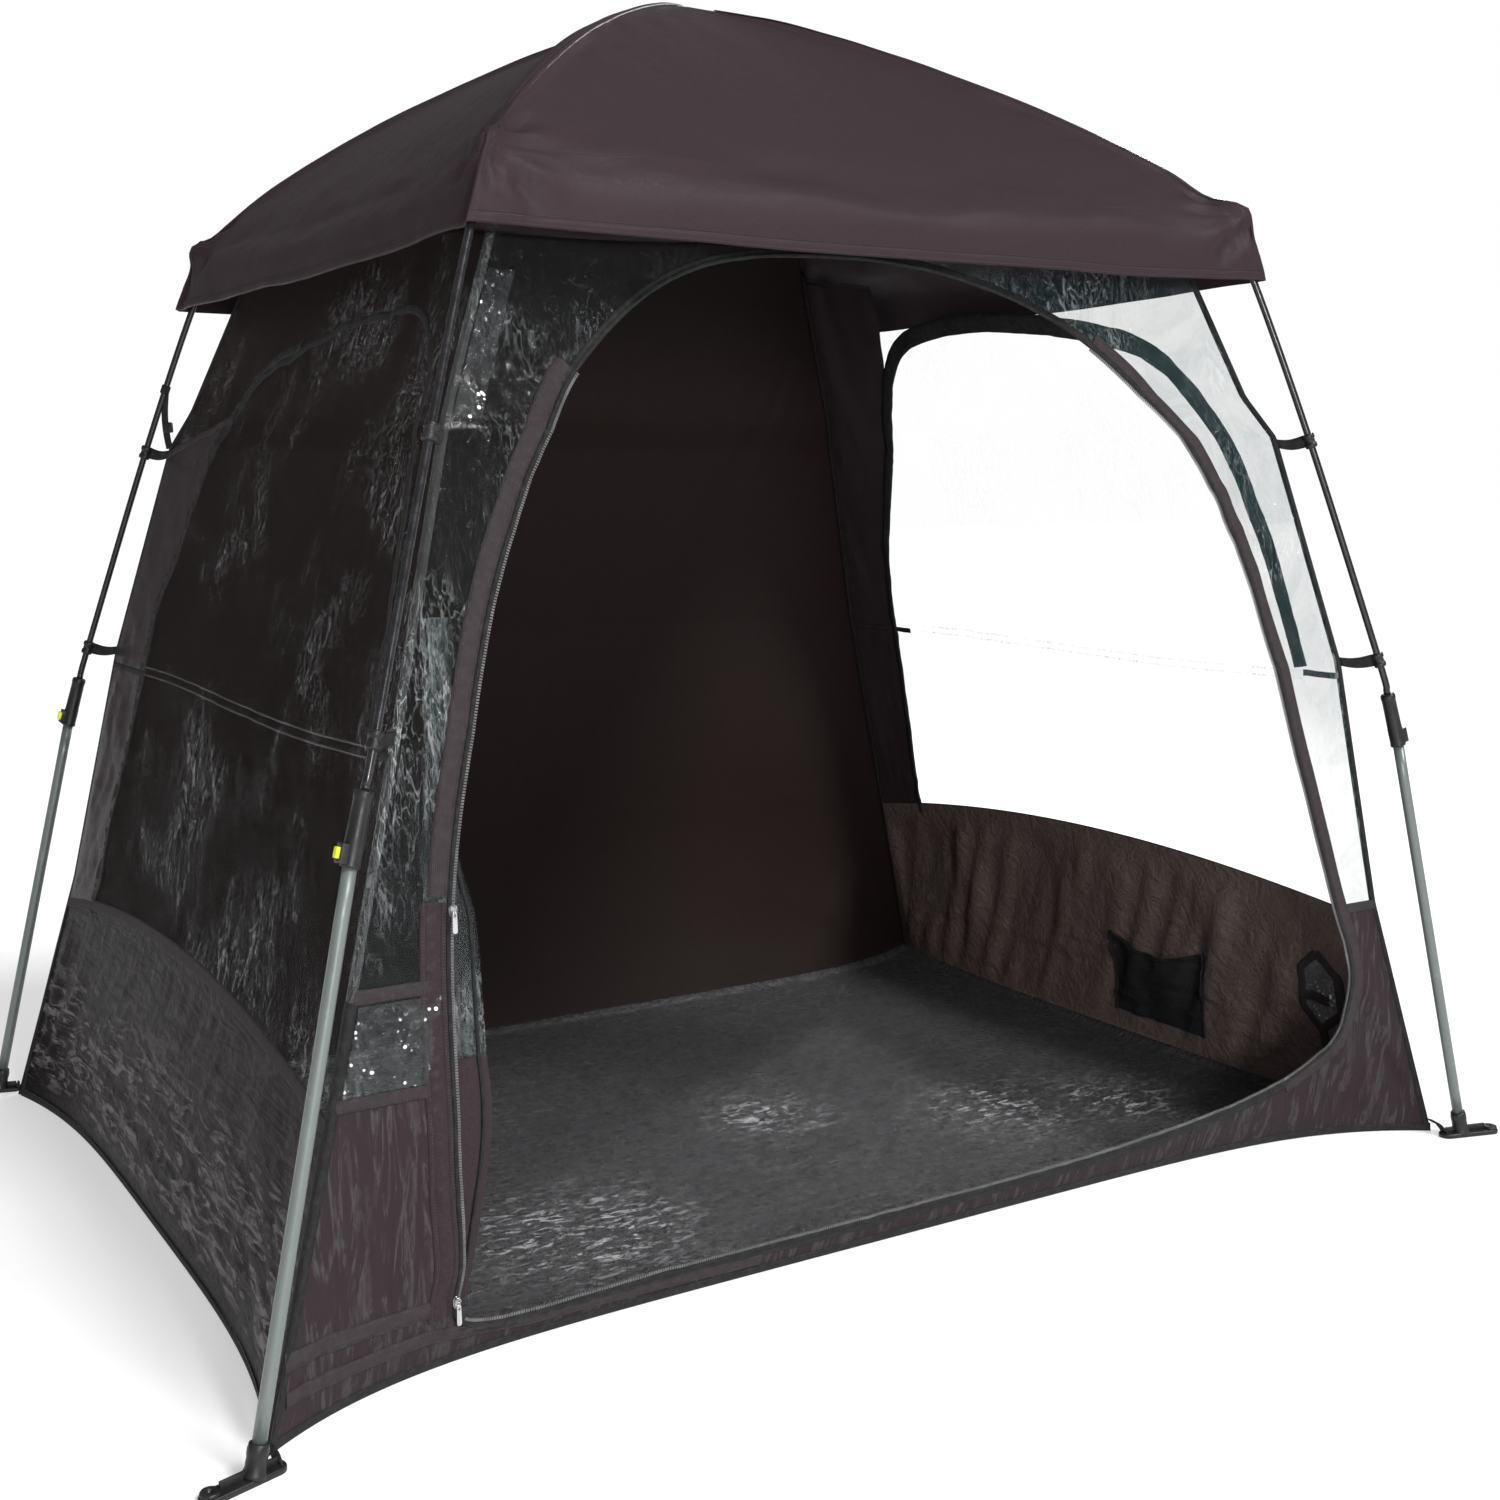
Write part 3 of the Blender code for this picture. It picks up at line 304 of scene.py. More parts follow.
def painted_look(name, colour, roughness):
    """Powder coat over metal, with fine orange peel and a few worn spots."""
    look = Look(name, colour, roughness, metallic=0.35, specular=0.5)
    worn = tuple(min(1.0, c * 1.25) for c in colour)
    look.tint(look.ramp(look.noise(26.0, 6.0, 0.7, 0.6), 0.52, 0.74), colour, worn)
    look.rough(look.ramp(look.noise(30.0, 4.0, 0.6), 0.3, 0.7, roughness - 0.05, roughness + 0.10))
    look.bump(look.noise(420.0, 3.0, 0.6), 0.00015, 0.5)
    return look.mat


def floor_look():
    """Woven coated tape cloth: flat crossed tapes under a glossy, crinkled coat, with pale highlights painted into its
    colour at a few spots.
    """
    look = Look("woven_floor", (0.030, 0.030, 0.032), 0.30, specular=0.6)
    bricks = look.node("TexBrick", {"offset": 0.5}, Vector=look.coords, Scale=1.0, Mortar_Size=0.0007,
                       Mortar_Smooth=0.5, Brick_Width=0.013, Row_Height=0.0045)
    look.tint(look.ramp(look.noise(130.0, 5.0, 0.7, 0.3), 0.36, 0.66), (0.034, 0.034, 0.036), (0.078, 0.078, 0.082))
    drawn = look.noise(1.0, 6.0, 0.68, 1.4, where=look.stretched((17.0, 44.0, 20.0), (0.0, 0.0, 0.35)))
    look.bump(drawn, 0.016, 0.9)
    look.bump(look.noise(95.0, 4.0, 0.7, 0.6), 0.0030, 0.8)
    # Painted highlights: pale streaks are mixed into the base colour near the listed floor spots, standing in for
    # glints.
    glint_streaks = look.ramp(look.noise(1.0, 5.0, 0.66, 1.3, where=look.stretched((26.0, 70.0, 20.0), (0.0, 0.0, 0.30))),
                      0.53, 0.63)
    spots = None
    for x, y, r in PAINTED_GLINT_SPOTS:
        away = look.node("VectorMath", {"operation": "DISTANCE"}, i0=look.coords, i1=(x, y, 0.0)).outputs["Value"]
        spot = look.ramp(away, 0.0, r, 1.0, 0.0)
        spots = spot if spots is None else look.math("MAXIMUM", spots, spot)
    glare = look.math("MULTIPLY", glint_streaks, spots)
    lit = look.node("Mix", {"data_type": "RGBA"})
    look.tree.links.new(glare, lit.inputs[0])
    look.tree.links.new(look.shader.inputs["Base Color"].links[0].from_socket, lit.inputs[6])
    lit.inputs[7].default_value = (0.62, 0.62, 0.64, 1)
    look.tree.links.new(lit.outputs[2], look.shader.inputs["Base Color"])
    look.bump(bricks.outputs["Fac"], -0.0007, 0.8)
    look.rough(look.ramp(look.noise(60.0, 4.0, 0.6), 0.30, 0.70, 0.20, 0.36))
    return look.mat


def mesh_look():
    """Open black netting: round holes in a dark knit."""
    look = Look("net_cloth", (0.012, 0.012, 0.013), 0.7, specular=0.3)
    hole = look.cells(420.0, feature="F1")
    look.tree.links.new(look.ramp(hole, 0.30, 0.46, 0.35, 1.0), look.shader.inputs["Alpha"])
    look.bump(look.noise(300.0, 3.0), 0.0004, 0.6)
    return look.mat


M = {
    "canopy": cloth_look("canopy_cloth", (0.031, 0.0205, 0.0245), (0.035, 0.024, 0.028), 0.40, 0.06),
    "cloth": cloth_look("wall_cloth", (0.026, 0.018, 0.0205), (0.034, 0.025, 0.028), 0.34, 0.06, 0.0012, 0.0),
    # Left lower panels: the cloth is made much darker than the wall cloth as painted shade, with painted highlights on
    # its crests near the hem.
    "left_cloth": crinkle_highlight_look("left_cloth", (0.0100, 0.0068, 0.0076), (0.150, 0.138, 0.143), (16.0, 7.0, 34.0),
                                (0.45, 0.0, 0.0), (0.02, 0.07, 0.20, 0.34), 0.50),
    # Front lower panels: pale diagonal streaks painted into the cloth's colour as painted sheen.
    "front_cloth": crinkle_highlight_look("front_cloth", (0.028, 0.0205, 0.0225), (0.052, 0.047, 0.049), (40.0, 12.0, 6.0),
                                 (0.0, 0.42, 0.0), None, 0.50),
    # Crumpled film patches, with glints painted into their colour.
    "spark": sparkle_look("film_sparkle", (0.060, 0.065, 0.068), 0.26),
    "film_far": film_look("clear_film_far", 0.34, (0.012, 0.042, 0.047), 0.5, 0.14),
    "sunny": cloth_look("sunlit_cloth", (0.085, 0.061, 0.054), (0.125, 0.092, 0.082), 0.32, 0.30, 0.0012, 0.010),
    # Back wall cloth, darker than the wall cloth: painted shade for the pod's shadowed inside.
    "back": cloth_look("back_cloth", (0.0115, 0.0070, 0.0066), (0.0145, 0.0092, 0.0086), 0.60, 0.08, 0.0008),
    "tape": webbing_look("brown_tape", (0.024, 0.017, 0.019), (0.034, 0.026, 0.028)),
    "film": film_look("clear_film", 0.045, (0.020, 0.022, 0.022), 0.0, 0.40),
    "film_right": film_look("clear_film_right", 0.018, (0.10, 0.11, 0.11), 0.2, 0.05),
    "film_front": film_look("clear_film_front", 0.150, (0.016, 0.028, 0.030), 0.7, 0.20),
    "floor": floor_look(),
    "webbing": webbing_look("black_webbing", (0.006, 0.006, 0.007), (0.018, 0.018, 0.019)),
    "black": plastic_look("black_plastic", (0.009, 0.009, 0.010), 0.42, 0.35),
    "rod": plastic_look("black_rod", (0.009, 0.009, 0.011), 0.26, 0.5, 0.00006),
    "button": plastic_look("yellow_button", srgb(205, 214, 20), 0.40),
    "tube": painted_look("grey_tube", srgb(106, 113, 110), 0.36),
    "zip": metal_look("zip_metal", (0.58, 0.59, 0.60), 0.26),
    "teeth": plastic_look("zip_teeth", (0.085, 0.082, 0.085), 0.40),
    "net": mesh_look(),
    # The port's film, also with glints painted into its colour.
    "port": sparkle_look("port_film", (0.10, 0.105, 0.11), 0.75),
    "weld": film_look("film_weld", 0.30, (0.10, 0.11, 0.11), 0.9, 0.30),
    "thread": webbing_look("thread", (0.045, 0.036, 0.040), (0.085, 0.075, 0.080)),
}


# Building blocks

def piece(name, verts, faces, mat, body="pod", slot=None, thickness=None, smooth=True, replaces=()):
    mesh = bpy.data.meshes.new(name)
    mesh.from_pydata([tuple(v) for v in verts], [], [tuple(int(i) for i in f) for f in faces])
    mesh.materials.append(M[mat])
    if smooth:
        mesh.shade_smooth()
    mesh.validate()
    obj = bpy.data.objects.new(name, mesh)
    bpy.context.scene.collection.objects.link(obj)
    if thickness:
        mod = obj.modifiers.new("thickness", "SOLIDIFY")
        mod.thickness = thickness
        mod.offset = 0.0
    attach(obj, body)
    if replaces:
        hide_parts(*replaces)
    return obj


def grid_faces(rows, cols, wrap=False):
    i = np.arange(rows - 1)[:, None]
    j = np.arange(cols if wrap else cols - 1)[None, :]
    k = (j + 1) % cols
    return np.stack([i * cols + j, i * cols + k, (i + 1) * cols + k, (i + 1) * cols + j], -1).reshape(-1, 4)


def grid_piece(name, points, mat, **more):
    rows, cols = points.shape[:2]
    return piece(name, points.reshape(-1, 3), grid_faces(rows, cols), mat, **more)


def unit(v):
    return v / np.maximum(np.linalg.norm(v, axis=-1, keepdims=True), 1e-12)


def catmull(points, per_span, cyclic=False):
    """A smooth curve through points, with per_span steps between each two."""
    p = np.array(points, float)
    n = len(p)
    if cyclic:
        ext = np.vstack([p[-1], p, p[0], p[1]])
        spans = n
    else:
        ext = np.vstack([2 * p[0] - p[1], p, 2 * p[-1] - p[-2]])
        spans = n - 1
    t = np.arange(per_span)[:, None] / per_span
    out = []
    for i in range(spans):
        a, b, c, d = ext[i:i + 4]
        out.append(0.5 * (2 * b + (c - a) * t + (2 * a - 5 * b + 4 * c - d) * t ** 2
                          + (3 * b - a - 3 * c + d) * t ** 3))
    if not cyclic:
        out.append(p[-1:])
    return np.vstack(out)


def resample(points, step, cyclic=False):
    """The same line with even steps."""
    p = np.array(points, float)
    if cyclic:
        p = np.vstack([p, p[:1]])
    lengths = np.concatenate([[0], np.cumsum(np.linalg.norm(np.diff(p, axis=0), axis=1))])
    count = max(2, int(round(lengths[-1] / step)) + 1)
    at = np.linspace(0, lengths[-1], count)
    if cyclic:
        at = at[:-1]
    return np.stack([np.interp(at, lengths, p[:, i]) for i in range(p.shape[1])], -1)


def tangents(p, cyclic=False):
    if cyclic:
        return unit(np.roll(p, -1, 0) - np.roll(p, 1, 0))
    return unit(np.gradient(p, axis=0))


def tube_data(path, radius, sides=16, cyclic=False, flat=1.0, up=None):
    """Rings round a path, with caps. flat squeezes the ring along the up direction."""
    path = np.array(path, float)
    n = len(path)
    radius = np.broadcast_to(np.array(radius, float), (n,))
    t = tangents(path, cyclic)
    side = unit(np.cross(t, np.broadcast_to(np.array(up if up is not None else (0.13, 0.31, 0.94), float), t.shape)))
    lift = np.cross(side, t)
    a = np.linspace(0, 2 * math.pi, sides, endpoint=False)
    ring = (side[:, None] * np.cos(a)[None, :, None] + lift[:, None] * np.sin(a)[None, :, None] * flat)
    verts = (path[:, None] + ring * radius[:, None, None]).reshape(-1, 3)
    faces = [list(f) for f in grid_faces(n, sides, wrap=True)]
    if cyclic:
        last = (n - 1) * sides
        faces += [[last + j, last + (j + 1) % sides, (j + 1) % sides, j] for j in range(sides)]
    else:
        faces.append(list(range(sides))[::-1])
        faces.append([(n - 1) * sides + j for j in range(sides)])
    return verts, faces


def tube(name, path, radius, mat, sides=16, cyclic=False, flat=1.0, up=None, **more):
    verts, faces = tube_data(path, radius, sides, cyclic, flat, up)
    return piece(name, verts, faces, mat, **more)


def joined(parts):
    """Several (verts, faces) as one."""
    verts, faces, base = [], [], 0
    for v, f in parts:
        verts.append(np.array(v, float))
        faces += [[i + base for i in face] for face in f]
        base += len(v)
    return np.vstack(verts), faces


def lathe_data(profile, origin, axis, sides=32):
    """A turned form: profile is (radius, height) from the lower pole to the upper one."""
    axis = unit(np.array(axis, float))
    side = unit(np.cross(axis, (0.2, 0.9, 0.1)))
    other = np.cross(axis, side)
    a = np.linspace(0, 2 * math.pi, sides, endpoint=False)
    ring = side * np.cos(a)[:, None] + other * np.sin(a)[:, None]
    verts = np.vstack([np.array(origin) + axis * h + ring * max(r, 1e-5) for r, h in profile])
    faces = [list(f) for f in grid_faces(len(profile), sides, wrap=True)]
    faces.append(list(range(sides))[::-1])
    faces.append([(len(profile) - 1) * sides + j for j in range(sides)])
    return verts, faces


def box_data(origin, axes, size, bevel=0.0):
    """A box with its centre, its three axes and its size, with chamfered edges."""
    bm = bmesh.new()
    bmesh.ops.create_cube(bm, size=1.0)
    bmesh.ops.scale(bm, verts=bm.verts, vec=size)
    if bevel:
        bmesh.ops.bevel(bm, geom=bm.edges[:], offset=bevel, segments=2, affect="EDGES", profile=0.6)
    bm.verts.index_update()
    axes = np.array(axes, float)
    verts = np.array([v.co for v in bm.verts]) @ axes + np.array(origin)
    faces = [[v.index for v in f.verts] for f in bm.faces]
    bm.free()
    return verts, faces


def noise(u, v, seed):
    """Smooth value noise from -1 to 1 over two arrays."""
    table = np.random.default_rng(seed).uniform(-1, 1, (89, 89))
    u, v = np.asarray(u, float), np.asarray(v, float)
    iu, iv = np.floor(u).astype(int), np.floor(v).astype(int)
    fu, fv = u - iu, v - iv
    fu, fv = (f * f * f * (f * (f * 6 - 15) + 10) for f in (fu, fv))
    a, b = table[iu % 89, iv % 89], table[(iu + 1) % 89, iv % 89]
    c, d = table[iu % 89, (iv + 1) % 89], table[(iu + 1) % 89, (iv + 1) % 89]
    return (a * (1 - fu) + b * fu) * (1 - fv) + (c * (1 - fu) + d * fu) * fv


def fbm(u, v, seed, octaves=4, fall=0.5):
    total, size = 0, 1.0
    for k in range(octaves):
        total = total + size * noise(u * 2 ** k, v * 2 ** k, seed + k)
        size *= fall
    return total


def ridges(u, v, seed, octaves=3, fall=0.55):
    """Sharp-crested noise, from about 0 to 1."""
    total, size, whole = 0, 1.0, 0.0
    for k in range(octaves):
        total = total + size * (1 - np.abs(noise(u * 2 ** k, v * 2 ** k, seed + k)) * 1.6)
        whole += size
        size *= fall
    return total / whole


def smoothstep(low, high, x):
    t = np.clip((np.asarray(x, float) - low) / (high - low), 0, 1)
    return t * t * (3 - 2 * t)


def fan(s, z, at, toward, spread, reach, count, seed):
    """Tension folds that run out from a point, within a fan round a direction given in degrees."""
    ds, dz = s - at[0], z - at[1]
    r = np.hypot(ds, dz)
    turn = (np.degrees(np.arctan2(dz, ds)) - toward + 180) % 360 - 180
    window = np.exp(-(turn / spread) ** 2)
    wave = noise(turn / spread * count + 7.3, r / reach * 1.3, seed) * 0.7 + noise(
        turn / spread * count * 2.1, r / reach * 2.0, seed + 5) * 0.3
    return wave * window * smoothstep(0.0, 0.16, r / reach) * (1 - smoothstep(0.35, 1.0, r / reach))


# The walls

def hip_z(t):
    return CREASE[2] + (PEAK_Z - CREASE[2]) * t + HIP_BOW * 4 * t * (1 - t)


def roof_z(x, y):
    u, v = np.abs(x) / CREASE[0], np.abs(y) / CREASE[1]
    edge = np.maximum(u, v)
    q = np.minimum(u, v) / np.maximum(edge, 1e-9)
    return hip_z(1 - edge) - FACE_SAG * edge * (1 - q * q)


def half_width(z):
    return np.interp(z, WALL_CORNER[:, 0], WALL_CORNER[:, 1])


def half_depth(z):
    return np.interp(z, WALL_CORNER[:, 0], WALL_CORNER[:, 2])


def hem_fade(z):
    return np.maximum(0.0, 1 - np.asarray(z, float) / HEM_SAG_TOP) ** 2


def half_span(side, z):
    if side in ("front", "back"):
        return half_width(z)
    return half_depth(z) - SIDE_INSET - SIDE_INSET_LOW * hem_fade(z)


def wall_base(side, s, z):
    s, z = np.broadcast_arrays(np.asarray(s, float), np.asarray(z, float))
    depth, power = HEM_SAG[side]
    half = half_width(z) if side in ("front", "back") else half_depth(z)
    pull = depth * hem_fade(z) * np.maximum(0.0, 1 - np.abs(s / half) ** power)
    if side in ("front", "back"):
        y = half_depth(z) - pull
        return np.stack([s, -y if side == "front" else y, z], -1)
    x = half_width(z) - pull
    return np.stack([-x if side == "left" else x, s, z], -1)


OUT = {"front": (0, -1, 0), "back": (0, 1, 0), "left": (-1, 0, 0), "right": (1, 0, 0)}


def wall_normal(side, s, z):
    e = 0.012
    ds = wall_base(side, s + e, z) - wall_base(side, s - e, z)
    dz = wall_base(side, s, z + e) - wall_base(side, s, np.maximum(z - e, 0))
    n = unit(np.cross(ds, dz))
    return n * np.sign(n @ np.array(OUT[side]))[..., None]


def top_z(side, s):
    """Height at which a wall meets the canopy's underside."""
    z = np.full(np.shape(s), 1.72)
    for _ in range(12):
        p = wall_base(side, s, z)
        z = roof_z(p[..., 0], p[..., 1]) - ROOF_CLEAR
    return z


def seam_z(side, s):
    """Height of the seam between the lower panel and the film."""
    if side == "front":
        return np.where(np.asarray(s) < 0, LOWER_Z["left"], LOWER_Z["right"])
    reach = half_span(side, 0.0)
    return SIDE_LOWER_END_Z + (SIDE_LOWER_MID_Z - SIDE_LOWER_END_Z) * (1 - (np.asarray(s) / reach) ** 2)


def wrinkle(side, s, z):
    """How far the cloth or film stands out from the wall's plain surface."""
    s, z = np.broadcast_arrays(np.asarray(s, float), np.asarray(z, float))
    half = half_span(side, z)
    corner = smoothstep(0.0, 0.05, half - np.abs(s))
    seam = seam_z(side, s)
    low = smoothstep(-0.015, -0.09, z - seam)
    up = z / seam
    film = smoothstep(0.0, 0.04, z - seam)
    seed = {"front": 11, "back": 31, "left": 51, "right": 71}[side]
    if side in ("left", "right"):
        cloth = 0.0075 * fan(s, z, (-0.84, 0.0), 60, 50, 0.80, 3.2, seed)
        cloth += 0.0090 * fan(s, z, (0.80, 0.02), 130, 42, 0.95, 3.4, seed + 1)
        near = np.exp(-((up - 0.30) / 0.24) ** 2)
        cloth += 0.0055 * near * (ridges(s * 9 + z * 7, z * 30, seed + 2) - 0.5)
        cloth += 0.0030 * (ridges(s * 13 + z * 6, z * 14 + s * 9, seed + 3) - 0.5) * smoothstep(0.02, 0.3, up)
        cloth += 0.0016 * noise(s * 70, z * 3, seed + 9) * smoothstep(0.75, 0.98, up)
        if side == "right":
            cloth += 0.0150 * noise(s * 11, z * 1.6, seed + 4) * smoothstep(0.05, 0.8, up)
            cloth += 0.0080 * noise(s * 23 + z * 9, z * 4.0, seed + 5)
        pane = 0.0040 * fbm(s * 5, z * 2.6, seed + 6, 3)
        pane += 0.0036 * (ridges(s * 15 + z * 7, z * 6 - s * 3, seed + 7) - 0.5)
        pane += 0.0020 * (ridges(s * 46 - z * 9, z * 20 + s * 9, seed + 17) - 0.5)
        pane += 0.0070 * fan(s, z, (-0.70, 1.30), 205, 42, 0.55, 4, seed + 8)
        pane += 0.0070 * fan(s, z, (0.70, 1.30), -25, 42, 0.55, 4, seed + 8)
        pane += 0.0080 * noise(s * 17, z * 2.0, seed + 10) * smoothstep(1.30, 1.62, z)
        out = cloth * low * smoothstep(0.0, 0.16, up) + pane * film
    elif side == "front":
        cloth = 0.0075 * fan(s, z, (-1.12, 0.0), 62, 34, 0.62, 2.8, seed)
        cloth += 0.0085 * fan(s, z, (1.12, 0.0), 128, 42, 0.60, 3.4, seed + 1)
        cloth += 0.0024 * (ridges(s * 20 - z * 9, z * 9 + s * 5, seed + 2) - 0.5)
        cloth += 0.0014 * noise(s * 75, z * 3, seed + 9) * smoothstep(0.7, 0.95, up)
        pane = 0.0030 * fbm(s * 6, z * 3.0, seed + 6, 3)
        pane += 0.0012 * (ridges(s * 24 + z * 3, z * 5.0, seed + 7) - 0.5) * smoothstep(-0.2, -0.5, s)
        pane += 0.0060 * fan(s, z, (-0.79, 1.29), -35, 70, 0.55, 5, seed + 8)
        pane += 0.0040 * fan(s, z, (0.79, 1.29), 215, 60, 0.45, 5, seed + 12)
        pane += 0.0110 * noise(s * 19 + z * 2, z * 1.6, seed + 10) * smoothstep(1.25, 1.58, z) * smoothstep(
            -0.05, -0.35, s)
        spark = np.exp(-(((s + 0.665) / 0.050) ** 2 + ((z - 1.42) / 0.13) ** 2))
        spark += np.exp(-(((s + 0.93) / 0.060) ** 2 + ((z - 0.50) / 0.060) ** 2))
        pane += 0.0060 * spark * (ridges(s * 45, z * 38, seed + 11, 4) - 0.5)
        out = cloth * low * smoothstep(0.0, 0.2, up) + pane * film
    else:
        out = 0.0050 * fan(s, z, (-1.12, 0.0), 50, 40, 1.1, 3.0, seed)
        out += 0.0050 * fan(s, z, (1.12, 0.0), 130, 40, 1.1, 3.0, seed + 1)
        out += 0.0032 * fbm(s * 2.6, z * 2.2, seed + 2, 3) * smoothstep(0, 0.2, z)
        out += 0.0040 * fan(s, z, (0.66, 1.60), 235, 30, 1.0, 3.4, seed + 3)
        out += 0.0040 * fan(s, z, (-0.66, 1.60), -55, 30, 1.0, 3.4, seed + 4)
    return out * corner


def skin(side, s, z, lift=0.0):
    """A point on the cloth as it hangs, lifted outwards."""
    s, z = np.broadcast_arrays(np.asarray(s, float), np.asarray(z, float))
    return wall_base(side, s, z) + wall_normal(side, s, z) * (wrinkle(side, s, z) + lift)[..., None]


def ribbon_rows(side, line, offsets, lifts, cyclic=False):
    """Lines beside a line of (s, z) points on a wall, each at its own offset and lift."""
    t = tangents(line, cyclic)
    away = np.stack([-t[:, 1], t[:, 0]], -1)
    rows = []
    for offset, lift in zip(offsets, lifts):
        p = line + away * (offset[:, None] if np.ndim(offset) else offset)
        rows.append(skin(side, p[:, 0], np.maximum(p[:, 1], 0.0015), lift))
    rows = np.stack(rows)
    return np.concatenate([rows, rows[:, :1]], 1) if cyclic else rows


def wall_ribbon(name, side, path, width, mat, lift=0.0014, crown=0.0005, step=0.010, across=5, shift=0.0,
                gather=None, **more):
    """A tape sewn on a wall along a line of (s, z) points, its edges turned down to the cloth."""
    line = resample(path, step)
    share = np.linspace(0, 1, len(line))
    wide = np.interp(share, np.linspace(0, 1, len(width)), width) if np.ndim(width) else np.full(len(line), width)
    sign = -1 if lift < 0 else 1
    offsets = [shift - wide / 2, shift - wide / 2]
    lifts = [0.0001 * sign, lift]
    for f in np.linspace(-0.5, 0.5, across)[1:-1]:
        offsets.append(shift + f * wide)
        ripple = 0.0
        if gather:
            at = share * len(line) * step / gather
            ripple = 0.0016 * (1 - (2 * f) ** 2) * noise(at * 2, at * 0 + f * 1.2, 7) * sign
        lifts.append(lift + sign * crown * (1 - (2 * f) ** 2) + ripple)
    offsets += [shift + wide / 2, shift + wide / 2]
    lifts += [lift, 0.0001 * sign]
    return grid_piece(name, ribbon_rows(side, line, offsets, lifts), mat, **more)


def stitch_data(points, normals, pitch=0.0045, length=0.0030, radius=0.00045):
    """Small thread dashes along a line that lies on a surface."""
    lengths = np.concatenate([[0], np.cumsum(np.linalg.norm(np.diff(points, axis=0), axis=1))])
    count = int(lengths[-1] / pitch)
    at = (np.arange(count) + 0.5) * pitch
    p = np.stack([np.interp(at, lengths, points[:, i]) for i in range(3)], -1)
    n = unit(np.stack([np.interp(at, lengths, normals[:, i]) for i in range(3)], -1))
    t = tangents(p) if count > 1 else np.array([[1.0, 0, 0]])
    b = np.cross(n, t)
    verts, half = [], length / 2
    for along, across, up in ((-1, 0, 0), (-0.5, 1, 0), (-0.5, 0, 1), (-0.5, -1, 0),
                              (0.5, 1, 0), (0.5, 0, 1), (0.5, -1, 0), (1, 0, 0)):
        verts.append(p + t * along * half + b * across * radius + n * up * radius)
    verts = np.stack(verts, 1).reshape(-1, 3)
    one = [(0, 1, 2), (0, 2, 3), (1, 4, 5, 2), (2, 5, 6, 3), (4, 7, 5), (5, 7, 6), (0, 3, 1), (1, 3, 6, 4),
           (4, 6, 7)]
    faces = [[i + 8 * k for i in f] for k in range(count) for f in one]
    return verts, faces


def wall_stitches(side, path, shift=0.0, lift=0.0022, **more):
    line = resample(path, 0.01)
    t = tangents(line)
    line = line + np.stack([-t[:, 1], t[:, 0]], -1) * shift
    z = np.maximum(line[:, 1], 0.002)
    return stitch_data(skin(side, line[:, 0], z, lift), wall_normal(side, line[:, 0], z), **more)


def wall_patch(name, side, low, high, mat, cols=160, rows=60, lift=0.0, span=(-1, 1), **more):
    """A patch of wall between two height functions of s."""
    u = np.linspace(span[0], span[1], cols)[None, :]
    v = np.linspace(0, 1, rows)[:, None]
    s0 = u * half_span(side, 0.7)
    for _ in range(4):
        z = low(s0) + (high(s0) - low(s0)) * v
        s0 = u * half_span(side, z)
    return grid_piece(name, skin(side, s0, z, lift), mat, **more)


def unfolded(*paths):
    """The length of each path, measured along the cloth."""
    return sorted(float(np.linalg.norm(np.diff(p, axis=0), axis=-1).sum(0).max()) for p in paths)


def sheet(obj, flat=None):
    """Hands the cloth piece back unchanged; flat is not used."""
    return obj


# Lights, floor and camera

def make_stage():
    floor_mat = Look("stage_floor", (0.60, 0.60, 0.60), 0.9, specular=0.0)
    floor_mat.shader.inputs["Emission Color"].default_value = (1, 1, 1, 1)
    floor_mat.shader.inputs["Emission Strength"].default_value = 0.38
    floor_mat.bump(floor_mat.noise(3.0, 3.0), 0.0005, 0.1)
    M["stage"] = floor_mat.mat
    mesh = bpy.data.meshes.new("stage_floor")
    reach = 40.0
    mesh.from_pydata([(-reach, -reach, -0.0005), (reach, -reach, -0.0005), (reach, reach, -0.0005),
                      (-reach, reach, -0.0005)], [], [(0, 1, 2, 3)])
    mesh.materials.append(M["stage"])
    obj = bpy.data.objects.new("stage_floor", mesh)
    bpy.context.scene.collection.objects.link(obj)
    world = bpy.data.worlds.new("studio")
    world.use_nodes = True
    back = world.node_tree.nodes["Background"]
    back.inputs["Color"].default_value = (1.0, 1.0, 1.0, 1)
    tree = world.node_tree
    split = tree.nodes.new("ShaderNodeSeparateXYZ")
    tree.links.new(tree.nodes.new("ShaderNodeTexCoord").outputs["Generated"], split.inputs[0])
    fall = tree.nodes.new("ShaderNodeMapRange")
    fall.interpolation_type = "SMOOTHSTEP"
    for key, value in (("From Min", 0.30), ("From Max", 0.62), ("To Min", 1.01), ("To Max", 0.50)):
        fall.inputs[key].default_value = value
    tree.links.new(split.outputs["Z"], fall.inputs["Value"])
    rays = tree.nodes.new("ShaderNodeLightPath").outputs
    strength = fall.outputs[0]
    for kind, level in (("Is Diffuse Ray", 0.42), ("Is Glossy Ray", 0.20)):
        dim = tree.nodes.new("ShaderNodeMix")
        tree.links.new(rays[kind], dim.inputs[0])
        tree.links.new(strength, dim.inputs[2])
        dim.inputs[3].default_value = level
        strength = dim.outputs[0]
    tree.links.new(strength, back.inputs["Strength"])
    bpy.context.scene.world = world
    bpy.context.scene.view_settings.view_transform = "Standard"


def area_light(name, at, target, size, power, colour=(1, 1, 1)):
    data = bpy.data.lights.new(name, "AREA")
    data.shape = "DISK"
    data.size = size
    data.energy = power
    data.color = colour
    obj = bpy.data.objects.new(name, data)
    bpy.context.scene.collection.objects.link(obj)
    obj.location = at
    obj.rotation_euler = (Vector(target) - Vector(at)).to_track_quat("-Z", "Y").to_euler()
    return obj


